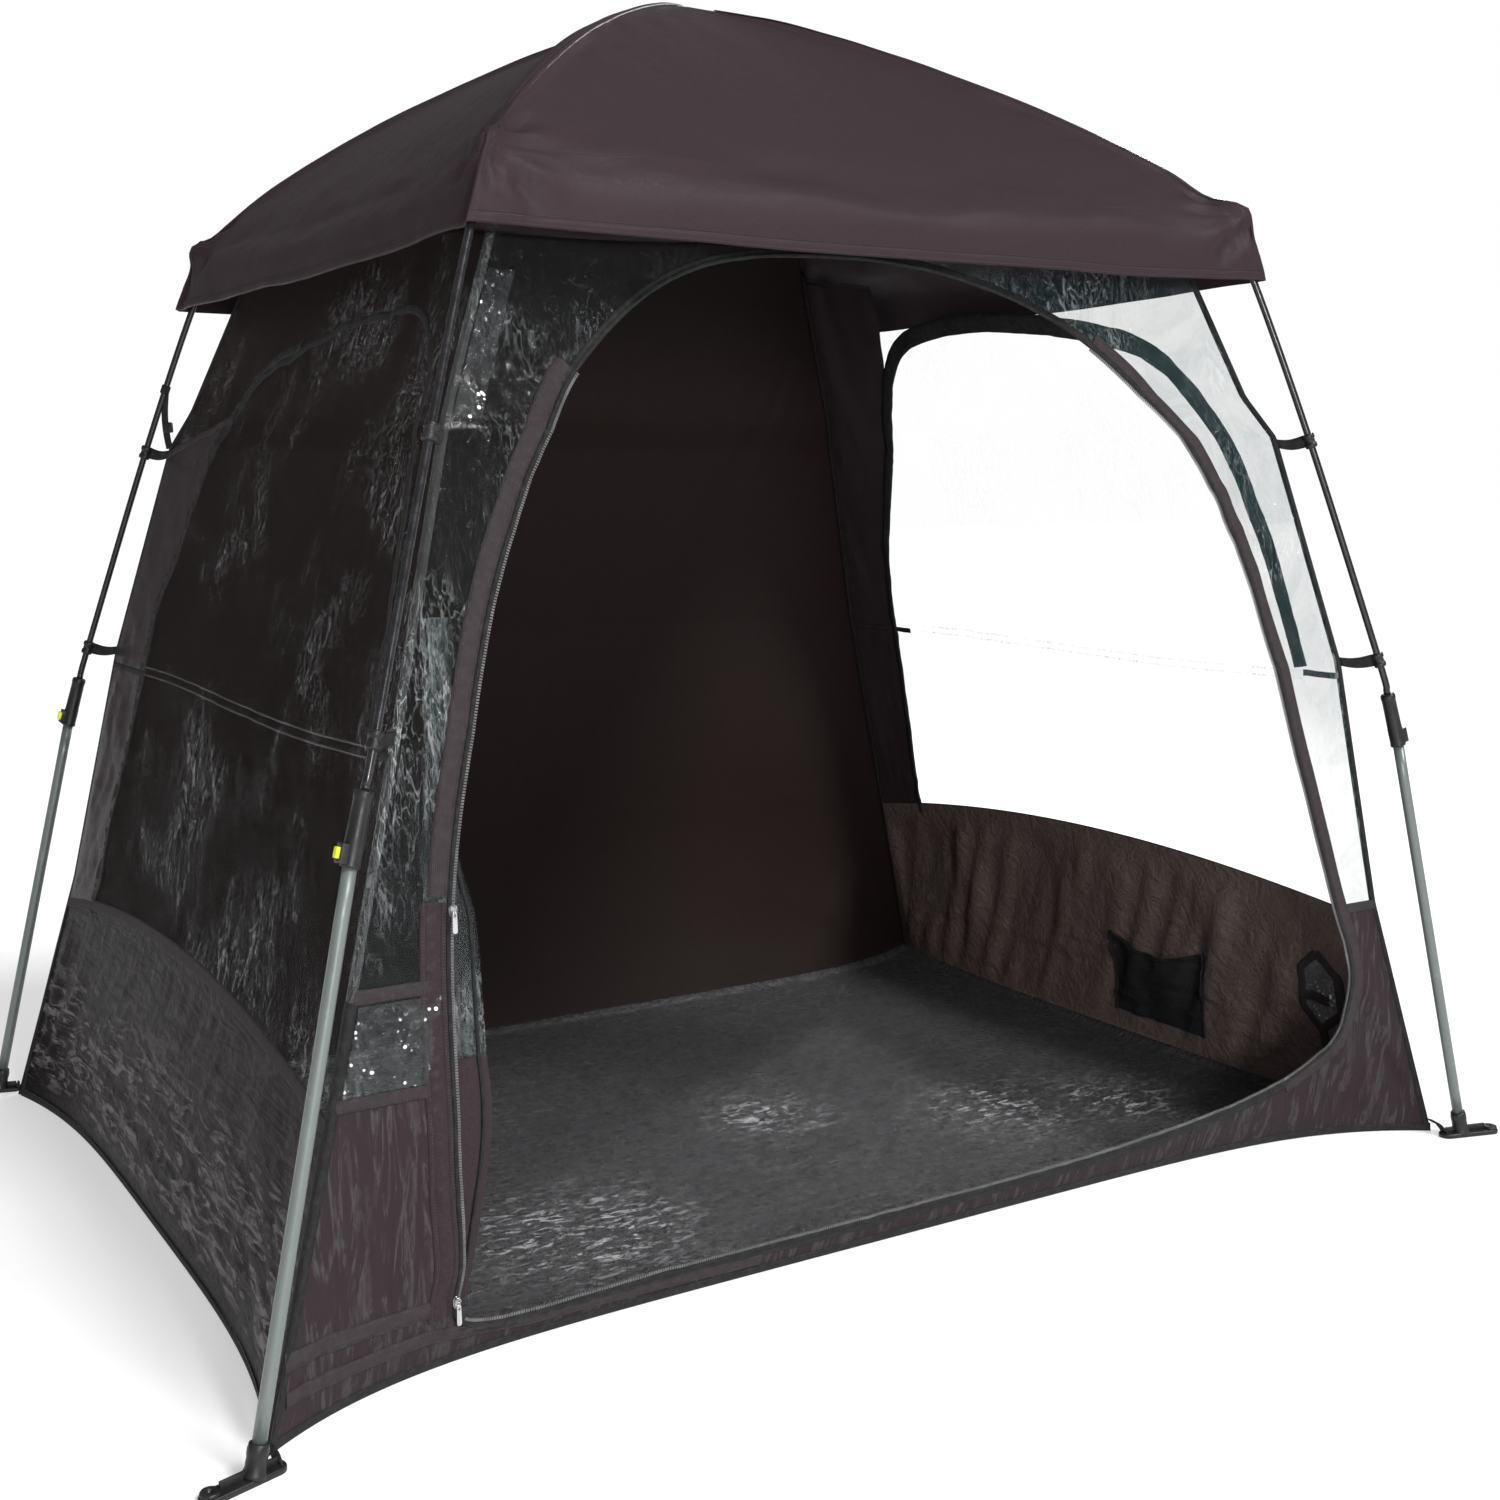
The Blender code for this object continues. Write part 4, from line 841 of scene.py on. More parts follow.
def make_lights():
    data = bpy.data.lights.new("sun", "SUN")
    data.energy = 3.0
    data.angle = 0.30
    obj = bpy.data.objects.new("sun", data)
    bpy.context.scene.collection.objects.link(obj)
    obj.rotation_euler = Vector((0.42, -0.85, 1.05)).to_track_quat("Z", "Y").to_euler()
    area_light("back", (4.4, 2.6, 3.8), (0.3, -0.2, 0.1), 0.7, 120)
    area_light("door", (-1.5, -5.2, 1.7), (0.8, -0.1, 0.1), 0.8, 150)


def make_camera():
    fwd = Vector((-math.sin(CAMERA_YAW) * math.cos(CAMERA_PITCH),
                  math.cos(CAMERA_YAW) * math.cos(CAMERA_PITCH), -math.sin(CAMERA_PITCH)))
    right = Vector((math.cos(CAMERA_YAW), math.sin(CAMERA_YAW), 0))
    up = right.cross(fwd)
    r = right * math.cos(CAMERA_ROLL) + up * math.sin(CAMERA_ROLL)
    u = up * math.cos(CAMERA_ROLL) - right * math.sin(CAMERA_ROLL)
    cam = bpy.data.cameras.new("camera")
    cam.lens = CAMERA_LENS
    cam.sensor_width = 36.0
    obj = bpy.data.objects.new("camera", cam)
    bpy.context.scene.collection.objects.link(obj)
    obj.matrix_world = Matrix((
        (r.x, u.x, -fwd.x, CAMERA_AT[0]),
        (r.y, u.y, -fwd.y, CAMERA_AT[1]),
        (r.z, u.z, -fwd.z, CAMERA_AT[2]),
        (0, 0, 0, 1),
    ))
    bpy.context.scene.camera = obj


# The canopy

CANOPY_STEPS = 92
CANOPY_RINGS = 58
VALANCE_ROWS = 18
SIDE_F = (lambda f: 0.72 * np.sin(f * math.pi / 2) + 0.28 * f)(np.linspace(-1, 1, CANOPY_STEPS + 1)[:-1])


def plan_ring(half_x, half_y):
    """A rectangle's outline, closer stepped near its corners."""
    corners = np.array([(-1, -1), (1, -1), (1, 1), (-1, 1)], float)
    f = SIDE_F[:, None]
    ring = [(corners[i] * (1 - f) + corners[(i + 1) % 4] * (1 + f)) / 2 for i in range(4)]
    return np.vstack(ring) * (half_x, half_y)


def canopy_surface():
    """Rings of the canopy's outer face from hem to peak, as an array (rings, round, 3)."""
    q = np.tile(np.abs(SIDE_F), 4)
    side = np.repeat(np.arange(4), CANOPY_STEPS)
    rings = []
    for k in range(VALANCE_ROWS):
        f = k / VALANCE_ROWS
        hx, hy = (HEM[i] + (CREASE[i] - HEM[i]) * f for i in (0, 1))
        ring = plan_ring(hx, hy)
        face = np.where(np.isin(side, (0, 2)), ring[:, 0] / hx, ring[:, 1] / hy)
        belly = 0.009 * math.sin(math.pi * f) * (1 - q ** 3)
        wave = (1 - f) * 0.006 * noise(face * 3.2 + side * 5, np.full_like(face, 3.1), 5) * (1 - q ** 4)
        push = np.stack([np.where(side == 1, 1, np.where(side == 3, -1, 0)),
                         np.where(side == 2, 1, np.where(side == 0, -1, 0))], -1)
        ring = ring + push * (belly + wave)[:, None]
        drop = (1 - f) * (0.006 * (1 - q ** 2) + 0.0035 * noise(face * 3.4 + side * 7, face * 0, 8))
        z = HEM[2] + (CREASE[2] - HEM[2]) * f - drop * np.where(side == 2, 0.3, 1) - FACE_SAG * f ** 3 * (1 - q * q)
        rings.append(np.column_stack([ring, z]))
    for k in range(CANOPY_RINGS):
        share = 1 - k / CANOPY_RINGS
        ring = plan_ring(CREASE[0] * share, CREASE[1] * share)
        rings.append(np.column_stack([ring, roof_z(ring[:, 0], ring[:, 1])]))
    surface = np.stack(rings)
    soft = surface.copy()
    for _ in range(40):
        soft[1:-1] = 0.5 * soft[1:-1] + 0.25 * (soft[2:] + soft[:-2])
    row = np.arange(len(surface))[:, None]
    near = np.exp(-((row - VALANCE_ROWS) / 8.0) ** 2)
    weight = (near * (1 - q[None, :] ** 7))[..., None]
    surface = surface * (1 - weight) + soft * weight
    return canopy_ripples(surface, q, side)


def canopy_ripples(surface, q, side):
    """A puffed-out left side, ridges over the arms, dents along the crease and puckers at the elbows."""
    row = np.arange(len(surface))[:, None]
    x, y, z = (surface[..., i] for i in range(3))
    climb = np.clip((row - VALANCE_ROWS) / CANOPY_RINGS, 0, 1)
    n = unit(np.cross(np.gradient(surface, axis=1), np.gradient(surface, axis=0)))
    n *= np.sign(n[..., 2:3] + 0.25)
    edge = np.maximum(np.abs(x) / CREASE[0], np.abs(y) / CREASE[1])
    along = np.where(np.isin(side, (0, 2))[None, :], x, y)
    near_crease = np.exp(-(((row - VALANCE_ROWS) / CANOPY_RINGS - 0.01) / 0.13) ** 2)
    from_hip = (1 - q[None, :]) * edge * 0.7 * 0.72
    lean = (np.clip(-x / np.maximum(edge, 1e-6) / CREASE[0], -0.15, 1) * 0.016
            + 0.006 * np.where(side == 3, 1, 0) * (1 - q ** 2))
    lift = lean * 6.75 * climb * (1 - climb) ** 2 * (row > VALANCE_ROWS)
    lift = lift + 0.0062 * np.exp(-(from_hip / 0.011) ** 2) * smoothstep(0.02, 0.2, climb) * smoothstep(1.0, 0.8, climb)
    lift += 0.0060 * near_crease * noise(along * 5.0 + side * 9, z * 22, 21) * (1 - q ** 6)
    lift += 0.0026 * near_crease * noise(along * 13 + side * 9, z * 50, 23) * (1 - q ** 8)
    lift += 0.0030 * np.exp(-(from_hip / 0.05) ** 2) * noise(row * 0.30, from_hip * 60, 27) * smoothstep(
        0, 0.012, from_hip)
    knee = np.sqrt((np.abs(x) - CREASE[0]) ** 2 + (np.abs(y) - CREASE[1]) ** 2 + (z - CREASE[2]) ** 2)
    lift += 0.0120 * np.exp(-(knee / 0.034) ** 2)
    turn = np.arctan2(z - CREASE[2], (np.abs(x) - CREASE[0]) - (np.abs(y) - CREASE[1]))
    lift += 0.0110 * np.exp(-((knee - 0.060) / 0.060) ** 2) * noise(turn * 3.4 + side * 3, knee * 11, 33) * smoothstep(
        0.004, 0.03, knee)
    lift += 0.0016 * fbm(along * 7, z * 7, 41, 3) * (1 - smoothstep(0.7, 1.0, climb))
    lift += 0.0012 * (ridges(along * 24 + side * 3, z * 60, 47) - 0.5) * np.exp(-(row / 9.0) ** 2)
    surface = surface + n * (lift * (1 - smoothstep(0.93, 1.0, climb)))[..., None]
    back_left = smoothstep(0.2, 1.0, -x / HEM[0]) * smoothstep(-0.6, 1.0, y / HEM[1]) * (1 - climb) ** 2
    surface[..., 0] -= 0.014 * back_left
    return surface


def closed(line):
    return np.vstack([line, line[:1]])


def make_canopy():
    surface = canopy_surface()
    rows, cols = surface.shape[:2]
    verts = np.vstack([surface.reshape(-1, 3), [[0, 0, PEAK_Z]]])
    faces = [list(f) for f in grid_faces(rows, cols, wrap=True)]
    faces += [[(rows - 1) * cols + j, (rows - 1) * cols + (j + 1) % cols, rows * cols] for j in range(cols)]
    cover = piece("canopy_cover", verts, faces, "canopy", slot="canopy_cloth", replaces=("canopy",))
    normals = np.array([v.normal for v in cover.data.vertices])[:rows * cols].reshape(rows, cols, 3)
    normals *= np.sign((normals[..., :2] * surface[..., :2]).sum(-1) + normals[..., 2] * 0.3)[..., None]
    hem_rows = []
    for f, lift in ((0.0, -0.0008), (0.0, 0.0014), (0.5, 0.0020), (1.2, 0.0021), (2.2, 0.0020), (2.3, 0.0002)):
        i = int(f)
        line = surface[i] * (1 - (f - i)) + surface[i + 1] * (f - i)
        hem_rows.append(closed(line + normals[i] * lift))
    piece("canopy_hem", np.vstack(hem_rows), grid_faces(len(hem_rows), cols + 1), "canopy", slot="canopy_cloth")
    threads, seams = [], []
    for f in (0.5, 2.0, 2.6):
        i = int(f)
        line = surface[i] * (1 - (f - i)) + surface[i + 1] * (f - i) + normals[i] * (0.0024 if f < 2.5 else 0.0004)
        threads.append(stitch_data(closed(line), closed(normals[i])))
    for corner in range(4):
        col = corner * CANOPY_STEPS
        middle = surface[:rows - 2, col]
        up = unit(normals[:rows - 2, (col + 1) % cols] + normals[:rows - 2, col - 1])
        for shift in (-2, 2):
            line = surface[:rows - 2, (col + shift) % cols]
            edge = middle + unit(line - middle) * 0.009 + up * 0.0012
            threads.append(stitch_data(edge, up))
        half = 0.005
        strip = []
        for shift, rise in ((-2, 0.0006), (-2, 0.0022), (0, 0.0026), (2, 0.0022), (2, 0.0006)):
            line = surface[:rows - 2, (col + shift) % cols]
            side_way = unit(line - middle) if shift else np.zeros_like(middle)
            strip.append(middle + side_way * (half if rise > 0.001 else half + 0.0004) + up * rise)
        seams.append((np.stack(strip).reshape(-1, 3), [list(f) for f in grid_faces(5, rows - 2)]))
    for i in range(4):
        cols_on = slice(i * CANOPY_STEPS, (i + 1) * CANOPY_STEPS)
        line, up = surface[VALANCE_ROWS, cols_on], normals[VALANCE_ROWS, cols_on]
        for keep in (slice(0, 26), slice(CANOPY_STEPS - 26, None)):
            threads.append(stitch_data((line + up * 0.0008)[keep], up[keep]))
    verts, faces = joined(threads)
    piece("canopy_stitches", verts, faces, "thread", slot="canopy_cloth", smooth=False)
    verts, faces = joined(seams)
    piece("canopy_seams", verts, faces, "canopy", slot="canopy_cloth")
    peak = np.array([[0.0, 0.0, PEAK_Z]])
    half = [np.vstack([surface[:, i * CANOPY_STEPS + CANOPY_STEPS // 2], peak]) for i in range(4)]
    over = [np.vstack([half[i], half[i + 2][::-1]]) for i in range(2)]
    sheet(cover, flat=unfolded(*over))


# The frame's poles

def at_corner(point, corner):
    sx, sy = CORNERS[corner]
    return np.array([point[0] * sx, point[1] * sy, point[2]])


ROD_LINE = catmull([LEG_SLEEVE_TOP, LEG_LOW_STRAP, LEG_HIGH_STRAP, LEG_HEM, LEG_ELBOW], 14)


def rod_at(z):
    """The upper rod's axis and direction at a height."""
    p = np.array([np.interp(z, ROD_LINE[:, 2], ROD_LINE[:, i]) for i in range(3)])
    t = np.array([np.interp(z, ROD_LINE[:, 2], tangents(ROD_LINE)[:, i]) for i in range(3)])
    return p, unit(t)


def make_leg(corner):
    sign = np.array([*CORNERS[corner], 1.0])
    foot, socket = at_corner(LEG_FOOT, corner), at_corner(LEG_SOCKET_TOP, corner)
    top, sleeve = at_corner(LEG_TUBE_TOP, corner), at_corner(LEG_SLEEVE_TOP, corner)
    tube("leg_tube_" + corner, np.linspace(socket, top, 12), 0.0095, "tube", sides=28, slot="grey_tube",
         replaces=("lower_tube_" + corner,))
    rod = ROD_LINE * sign
    radius = np.full(len(rod), 0.0060)
    up_in = unit(np.array([-sign[0], -sign[1], 1.2]))
    knuckle = [rod[-1] + up_in * d for d in (0.004, 0.010, 0.018, 0.026)]
    tube("rod_" + corner, np.vstack([rod, knuckle]), np.concatenate([radius, [0.0098, 0.0112, 0.0104, 0.0078]]),
         "rod", sides=20, slot="black_rod", replaces=("upper_rod_" + corner,))
    along = unit(sleeve - top)
    length = float(np.linalg.norm(sleeve - top))
    profile = [(0.0096, -0.0004), (0.0128, 0.0), (0.0135, 0.0015), (0.0135, 0.0040), (0.0130, 0.0055),
               (0.0130, 0.032), (0.0126, 0.036), (0.0122, 0.070), (0.0122, length - 0.012),
               (0.0128, length - 0.010), (0.0128, length - 0.004), (0.0112, length - 0.001), (0.0070, length)]
    parts = [lathe_data(profile, top, along)]
    out_x = unit(np.array([sign[0], 0, 0]) - along * along[0] * sign[0])
    side = np.cross(along, out_x)
    middle = 0.016
    walls = [(0.0, way * 0.00830, (0.0105, 0.0038, 0.0260)) for way in (-1, 1)]
    walls += [(way * 0.01050, 0.0, (0.0105, 0.0166, 0.0050)) for way in (-1, 1)]
    for up, across, size in walls:
        at = top + along * (middle + up) + side * across + out_x * 0.01325
        parts.append(box_data(at, (out_x, side, along), size, 0.0009))
    verts, faces = joined(parts)
    piece("sleeve_shell_" + corner, verts, faces, "black", slot="black_plastic", replaces=("sleeve_" + corner,))
    verts, faces = box_data(top + along * middle + out_x * 0.0199, (out_x, side, along),
                            (0.0072, 0.0120, 0.0150), 0.0022)
    piece("release_" + corner, verts, faces, "button", body="button_" + corner, slot="yellow_button",
          replaces=("button_" + corner,))
    make_collars(corner, sign)
    make_foot(corner, foot, socket, sign)


def make_collars(corner, sign):
    """Ridged collars on the rod, each with a short strap to the wall's corner."""
    for level, z, node in (("low", LEG_LOW_STRAP[2], "low_strap_"), ("high", LEG_HIGH_STRAP[2], "high_strap_")):
        at, along = rod_at(z)
        at, along = at * sign, unit(along * sign)
        profile = [(0.0064, -0.0130), (0.0092, -0.0125), (0.0104, -0.0105), (0.0104, -0.0050), (0.0088, -0.0035),
                   (0.0088, 0.0035), (0.0104, 0.0050), (0.0104, 0.0105), (0.0092, 0.0125), (0.0064, 0.0130)]
        verts, faces = lathe_data(profile, at, along, 28)
        piece(f"{level}_collar_{corner}", verts, faces, "black", slot="black_plastic",
              replaces=(node + corner,))
        target = np.array([float(half_width(z)) * sign[0], float(half_depth(z)) * sign[1], z - 0.004])
        start = at + unit(target - at) * 0.009
        sag = np.array([0, 0, -1.0])
        rows = []
        for f in np.linspace(0, 1, 9):
            middle = start + (target - start) * f + sag * 0.004 * math.sin(math.pi * f)
            half = 0.011 * (1 - 0.25 * f)
            rows.append([middle + along * half * k for k in np.linspace(-1, 1, 5)])
        grid_piece(f"{level}_tongue_{corner}", np.array(rows), "webbing", slot="black_webbing", thickness=0.0022)


def make_foot(corner, foot, socket, sign):
    """A moulded foot: a rounded plate, a raised blind eyelet at its toe and a ribbed socket."""
    lean = unit(socket - foot)
    out = unit(np.array([-lean[0], -lean[1], 0]))
    side = np.array([-out[1], out[0], 0])
    outline = []
    for a in np.linspace(-90, 90, 13):
        outline.append((0.061 + 0.0150 * math.cos(math.radians(a)), 0.0150 * math.sin(math.radians(a))))
    for a in np.linspace(90, 270, 13):
        outline.append((-0.031 + 0.0150 * math.cos(math.radians(a)), 0.0150 * math.sin(math.radians(a))))
    bm = bmesh.new()
    levels = [(0.0, 0.0), (0.0, 0.0058), (-0.0012, 0.0076), (-0.0030, 0.0080)]
    loops = []
    for inset, z in levels:
        ring = []
        for x, y in outline:
            cx = min(max(x, -0.031), 0.061)
            d = math.hypot(x - cx, y) or 1
            k = (d + inset) / d
            ring.append(bm.verts.new(foot + out * (cx + (x - cx) * k) + side * (y * k) + np.array([0, 0, z])))
        loops.append(ring)
    n = len(outline)
    for a, b in zip(loops, loops[1:]):
        for i in range(n):
            bm.faces.new((a[i], a[(i + 1) % n], b[(i + 1) % n], b[i]))
    bm.faces.new(loops[-1])
    bm.faces.new(list(reversed(loops[0])))
    bm.verts.index_update()
    plate = ([tuple(v.co) for v in bm.verts], [[v.index for v in f.verts] for f in bm.faces])
    bm.free()
    toe = lathe_data([(0.0132, 0.0070), (0.0132, 0.0105), (0.0118, 0.0128), (0.0062, 0.0132), (0.0048, 0.0122),
                      (0.0046, 0.0072)], foot + out * 0.061, (0, 0, 1), 28)
    profile = [(0.0175, 0.004), (0.0165, 0.010), (0.0140, 0.016), (0.0135, 0.030), (0.0142, 0.033),
               (0.0142, 0.040), (0.0135, 0.043), (0.0128, 0.0475), (0.0100, 0.0482)]
    sock = lathe_data(profile, foot, lean, 28)
    ribs = [box_data(foot + out * x + np.array([0, 0, h]), (out, side, (0, 0, 1)), size, 0.0012)
            for x, h, size in ((0.026, 0.012, (0.044, 0.0040, 0.014)), (-0.022, 0.012, (0.026, 0.0040, 0.012)))]
    verts, faces = joined([plate, toe, sock] + ribs)
    piece("foot_shell_" + corner, verts, faces, "black", slot="black_plastic", replaces=("foot_" + corner,))
    hook = foot - out * 0.036 + np.array([0, 0, 0.008])
    target = np.array([float(half_width(0.01)) * sign[0], float(half_depth(0.01)) * sign[1], 0.020])
    rows = []
    for f in np.linspace(0, 1, 7):
        middle = hook + (target - hook) * f + np.array([0, 0, 0.006 * math.sin(math.pi * f)])
        rows.append([middle + side * 0.011 * k for k in np.linspace(-1, 1, 5)])
    grid_piece("foot_loop_" + corner, np.array(rows), "webbing", slot="black_webbing", thickness=0.0030)


# The walls' panels

def door_points(step=None):
    loop = catmull(DOOR_LOOP, 12, cyclic=True)
    return resample(loop, step, cyclic=True) if step else loop


def make_front():
    """The front wall as one ring of cloth round the door, cut at its seams."""
    heights = [c for c in WALL_CORNER[:, 0] if c < 1.70]
    edge = [(float(half_width(z)), z) for z in heights]
    reach = float(half_width(1.76))
    arch = [(s, float(top_z("front", np.array(s)))) for s in np.linspace(reach, -reach, 25)]
    outline = edge + arch + [(-s, z) for s, z in reversed(edge)]
    corners = [np.array(p) for p in outline]
    outer = []
    for a, b in zip(corners, corners[1:] + corners[:1]):
        count = max(1, int(np.linalg.norm(b - a) / 0.009))
        outer += [a + (b - a) * k / count for k in range(count)]
    outer = np.array(outer)
    middle = np.array(DOOR_MID)
    loop = door_points()
    polar = np.arctan2(*(loop - middle).T[::-1])
    order = np.argsort(polar)
    polar, radius = polar[order], np.linalg.norm(loop - middle, axis=1)[order]
    angle = np.arctan2(*(outer - middle).T[::-1])
    inner_r = np.interp(angle, polar, radius, period=2 * math.pi) + 0.004
    inner = middle + np.stack([np.cos(angle), np.sin(angle)], -1) * inner_r[:, None]
    rings = 42
    flat = np.stack([inner + (outer - inner) * k / (rings - 1) for k in range(rings)])
    cols = len(outer)
    bm = bmesh.new()
    verts = [bm.verts.new((s, z, 0)) for s, z in flat.reshape(-1, 2)]
    for f in grid_faces(rings, cols, wrap=True):
        try:
            bm.faces.new([verts[i] for i in f])
        except ValueError:
            pass
    for at, normal in (((0, LOWER_Z["left"]), (0, 1)), ((0, LOWER_Z["right"]), (0, 1)), ((SILL_X[0], 0), (1, 0)),
                       ((SILL_X[1], 0), (1, 0)), ((0, 0), (1, 0)), ((0, FILM_CUT_Z["left"]), (0, 1)),
                       ((0, FILM_CUT_Z["right"]), (0, 1))):
        bmesh.ops.bisect_plane(bm, geom=bm.verts[:] + bm.edges[:] + bm.faces[:], dist=0.0001,
                               plane_co=(*at, 0), plane_no=(*normal, 0))
    regions = {
        "front_lower_left": lambda s, z: z < LOWER_Z["left"] and s < SILL_X[0],
        "front_sill": lambda s, z: z < 0.30 and SILL_X[0] < s < SILL_X[1],
        "front_lower_right": lambda s, z: z < LOWER_Z["right"] and s > SILL_X[1],
        "front_window_left_side": lambda s, z: LOWER_Z["left"] < z < FILM_CUT_Z["left"] and s < 0,
        "front_window_left_top": lambda s, z: z > FILM_CUT_Z["left"] and s < 0,
        "front_window_right_side": lambda s, z: LOWER_Z["right"] < z < FILM_CUT_Z["right"] and s > 0,
        "front_window_right_top": lambda s, z: z > FILM_CUT_Z["right"] and s > 0,
    }
    for node, inside in regions.items():
        faces = [f for f in bm.faces if inside(*f.calc_center_median().xy)]
        bm.verts.index_update()
        bm.verts.ensure_lookup_table()
        used = sorted({v.index for f in faces for v in f.verts})
        index = {v: i for i, v in enumerate(used)}
        flat_points = np.array([bm.verts[i].co.xy for i in used])
        film = "window" in node
        points = skin("front", flat_points[:, 0], flat_points[:, 1])
        cad_node = node.replace("_side", "").replace("_top", "")
        mat = {"front_window_left": "film_front", "front_window_right": "film_far"}.get(cad_node, "front_cloth")
        obj = piece(node + ("_film" if film else "_panel"), points,
                    [[index[v.index] for v in f.verts] for f in faces], mat,
                    slot="clear_film" if film else "wall_cloth", thickness=None if film else 0.0010,
                    replaces=(cad_node,))
        sheet(obj)
    bm.free()


def side_strip(side):
    """The cloth between the back corner and the arched zip, up to the high strap."""
    line = catmull(ARCH[side], 8)
    leg = line[(line[:, 0] > 0.30) & (line[:, 1] < 1.42)]
    leg = leg[np.argsort(leg[:, 1])]
    rows = 90
    v = np.linspace(0, 1, rows)[:, None]
    u = np.linspace(0, 1, 16)[None, :]
    top_in, top_out = (1.345, 1.285) if side == "left" else (1.640, 1.680)
    z_in = seam_z(side, leg[0, 0]) + (top_in - seam_z(side, leg[0, 0])) * v
    s_in = np.interp(z_in, leg[:, 1], leg[:, 0]) - 0.05 * smoothstep(1.38, 1.64, z_in)
    z_out = 0.400 + (top_out - 0.400) * v
    s_out = half_span(side, z_out)
    s, z = s_in + (s_out - s_in) * u, z_in + (z_out - z_in) * u
    strip = grid_piece(side + "_back_strip", skin(side, s, z, 0.0016), "cloth", slot="wall_cloth")
    sheet(strip)
    end = list(zip(s[-1], z[-1]))
    wall_ribbon(side + "_strip_end", side, end, 0.014, "tape", lift=0.0026, slot="wall_cloth")


def make_sides():
    for side in ("left", "right"):
        low = wall_patch(side + "_lower_panel", side, lambda s: s * 0, lambda s: seam_z(side, s),
                         "sunny" if side == "right" else "left_cloth", 230, 70,
                         slot="wall_cloth", replaces=(side + "_wall_lower",))
        sheet(low)
        film = wall_patch(side + "_window_film", side, lambda s: seam_z(side, s), lambda s: top_z(side, s),
                          "film" if side == "left" else "film_right", 170, 130,
                          slot="clear_film", replaces=(side + "_window",))
        sheet(film)
        side_strip(side)
        reach = float(half_span(side, 0.4)) - 0.004
        seam = [(s, float(seam_z(side, s))) for s in np.linspace(-reach, reach, 60)]
        wall_ribbon(side + "_seam_band", side, seam, 0.020, "tape", shift=-0.008, slot="wall_cloth")
        hem_reach = float(half_span(side, 0.0)) - 0.002
        hem = [(s, 0.0085) for s in np.linspace(-hem_reach, hem_reach, 90)]
        wall_ribbon(side + "_hem_band", side, hem, 0.013, "webbing", slot="black_webbing")
        arch = catmull(ARCH[side], 8)
        threads = [wall_stitches(side, seam, shift=-0.001), wall_stitches(side, seam, shift=-0.015),
                   wall_stitches(side, hem, shift=0.010, lift=0.0006)]
        if side == "left":
            wall_ribbon("left_arch_band", side, arch, (0.013, 0.013, 0.012, 0.012, 0.011), "webbing",
                        slot="black_webbing")
            wall_ribbon("left_arch_ruffle", side, arch[:60], 0.016, "net", shift=-0.015, step=0.003, gather=0.012,
                        slot="wall_cloth")
        else:
            inside = [0.010, 0.012, 0.016, 0.026, 0.036, 0.038, 0.038, 0.038, 0.034, 0.030]
            wall_ribbon("right_arch_band", side, arch, inside, "webbing", lift=-0.0022, crown=0.0010,
                        slot="black_webbing")
            wall_ribbon("right_arch_cord", side, arch, 0.009, "webbing", lift=0.0018, slot="black_webbing")
            make_port()
            make_pocket()
        corner = float(half_span(side, WELD_Z))
        for k, (a, b) in enumerate(((-corner, -0.683), (0.530, corner))):
            wall_ribbon(f"{side}_weld_tab_{k}", side, [(a, WELD_Z), (b, WELD_Z)], 0.011, "webbing", lift=0.0020,
                        slot="black_webbing")
        weld = [(s, WELD_Z + 0.008 * math.sin(s * 4)) for s in np.linspace(-0.680, 0.530, 50)]
        for k, shift in enumerate((-0.007, 0.007)):
            wall_ribbon(f"{side}_weld_{k}", side, weld, 0.0035, "film" if side == "right" else "weld", lift=0.0012,
                        shift=shift, slot="clear_film")
        verts, faces = joined(threads)
        piece(side + "_stitches", verts, faces, "thread", slot="wall_cloth", smooth=False)


def make_pocket():
    """A net pocket on the inside of the right lower panel, with a curved bound mouth."""
    cols, rows = 50, 40
    u = np.linspace(0, 1, cols)[None, :]
    v = np.linspace(0, 1, rows)[:, None]
    s = -0.320 + 0.270 * u + 0 * v
    mouth = 0.240 - 0.030 * np.sin(math.pi * u)
    z = 0.060 + (mouth - 0.060) * v
    belly = -0.004 - 0.016 * np.sin(math.pi * u) * v ** 0.7 - 0.003 * noise(u * 7, v * 3, 3)
    net = grid_piece("pocket_net", skin("right", s, z, belly), "net", slot="wall_cloth")
    sheet(net)
    line = skin("right", s[-1], z[-1], belly[-1])
    tube("pocket_mouth", line, 0.0038, "webbing", sides=10, slot="black_webbing")
    for k, at in enumerate((0, -1)):
        tube(f"pocket_edge_{k}", skin("right", s[:, at], z[:, at], belly[:, at] - 0.001), 0.0024, "webbing", sides=8,
             slot="black_webbing")


def make_port():
    """A small clear six-sided port low on the right panel, framed in tape, with its flap's strap."""
    middle = np.array([-0.635, 0.240])
    corners = [middle + np.array([0.052 * math.cos(a), 0.078 * math.sin(a)])
               for a in np.linspace(math.pi / 2, 5 * math.pi / 2, 7)]
    loop = resample(np.array(corners), 0.008)
    rows = np.stack([middle + (loop - middle) * k for k in np.linspace(0.02, 0.96, 10)])
    ripple = -0.0020 - 0.0030 * (ridges(rows[..., 0] * 60, rows[..., 1] * 60, 4) - 0.5)
    glass = grid_piece("port_film", skin("right", rows[..., 0], rows[..., 1], ripple), "port", slot="clear_film")
    sheet(glass)
    wall_ribbon("port_frame", "right", corners, 0.016, "tape", lift=-0.0030, slot="wall_cloth")
    wall_ribbon("port_strap", "right", [(-0.585, 0.225), (-0.660, 0.225)], 0.018, "tape", lift=-0.0050,
                slot="black_webbing")
    wall_ribbon("port_drop", "right", [(-0.635, 0.165), (-0.640, 0.100)], 0.016, "tape", lift=-0.0040,
                slot="black_webbing")


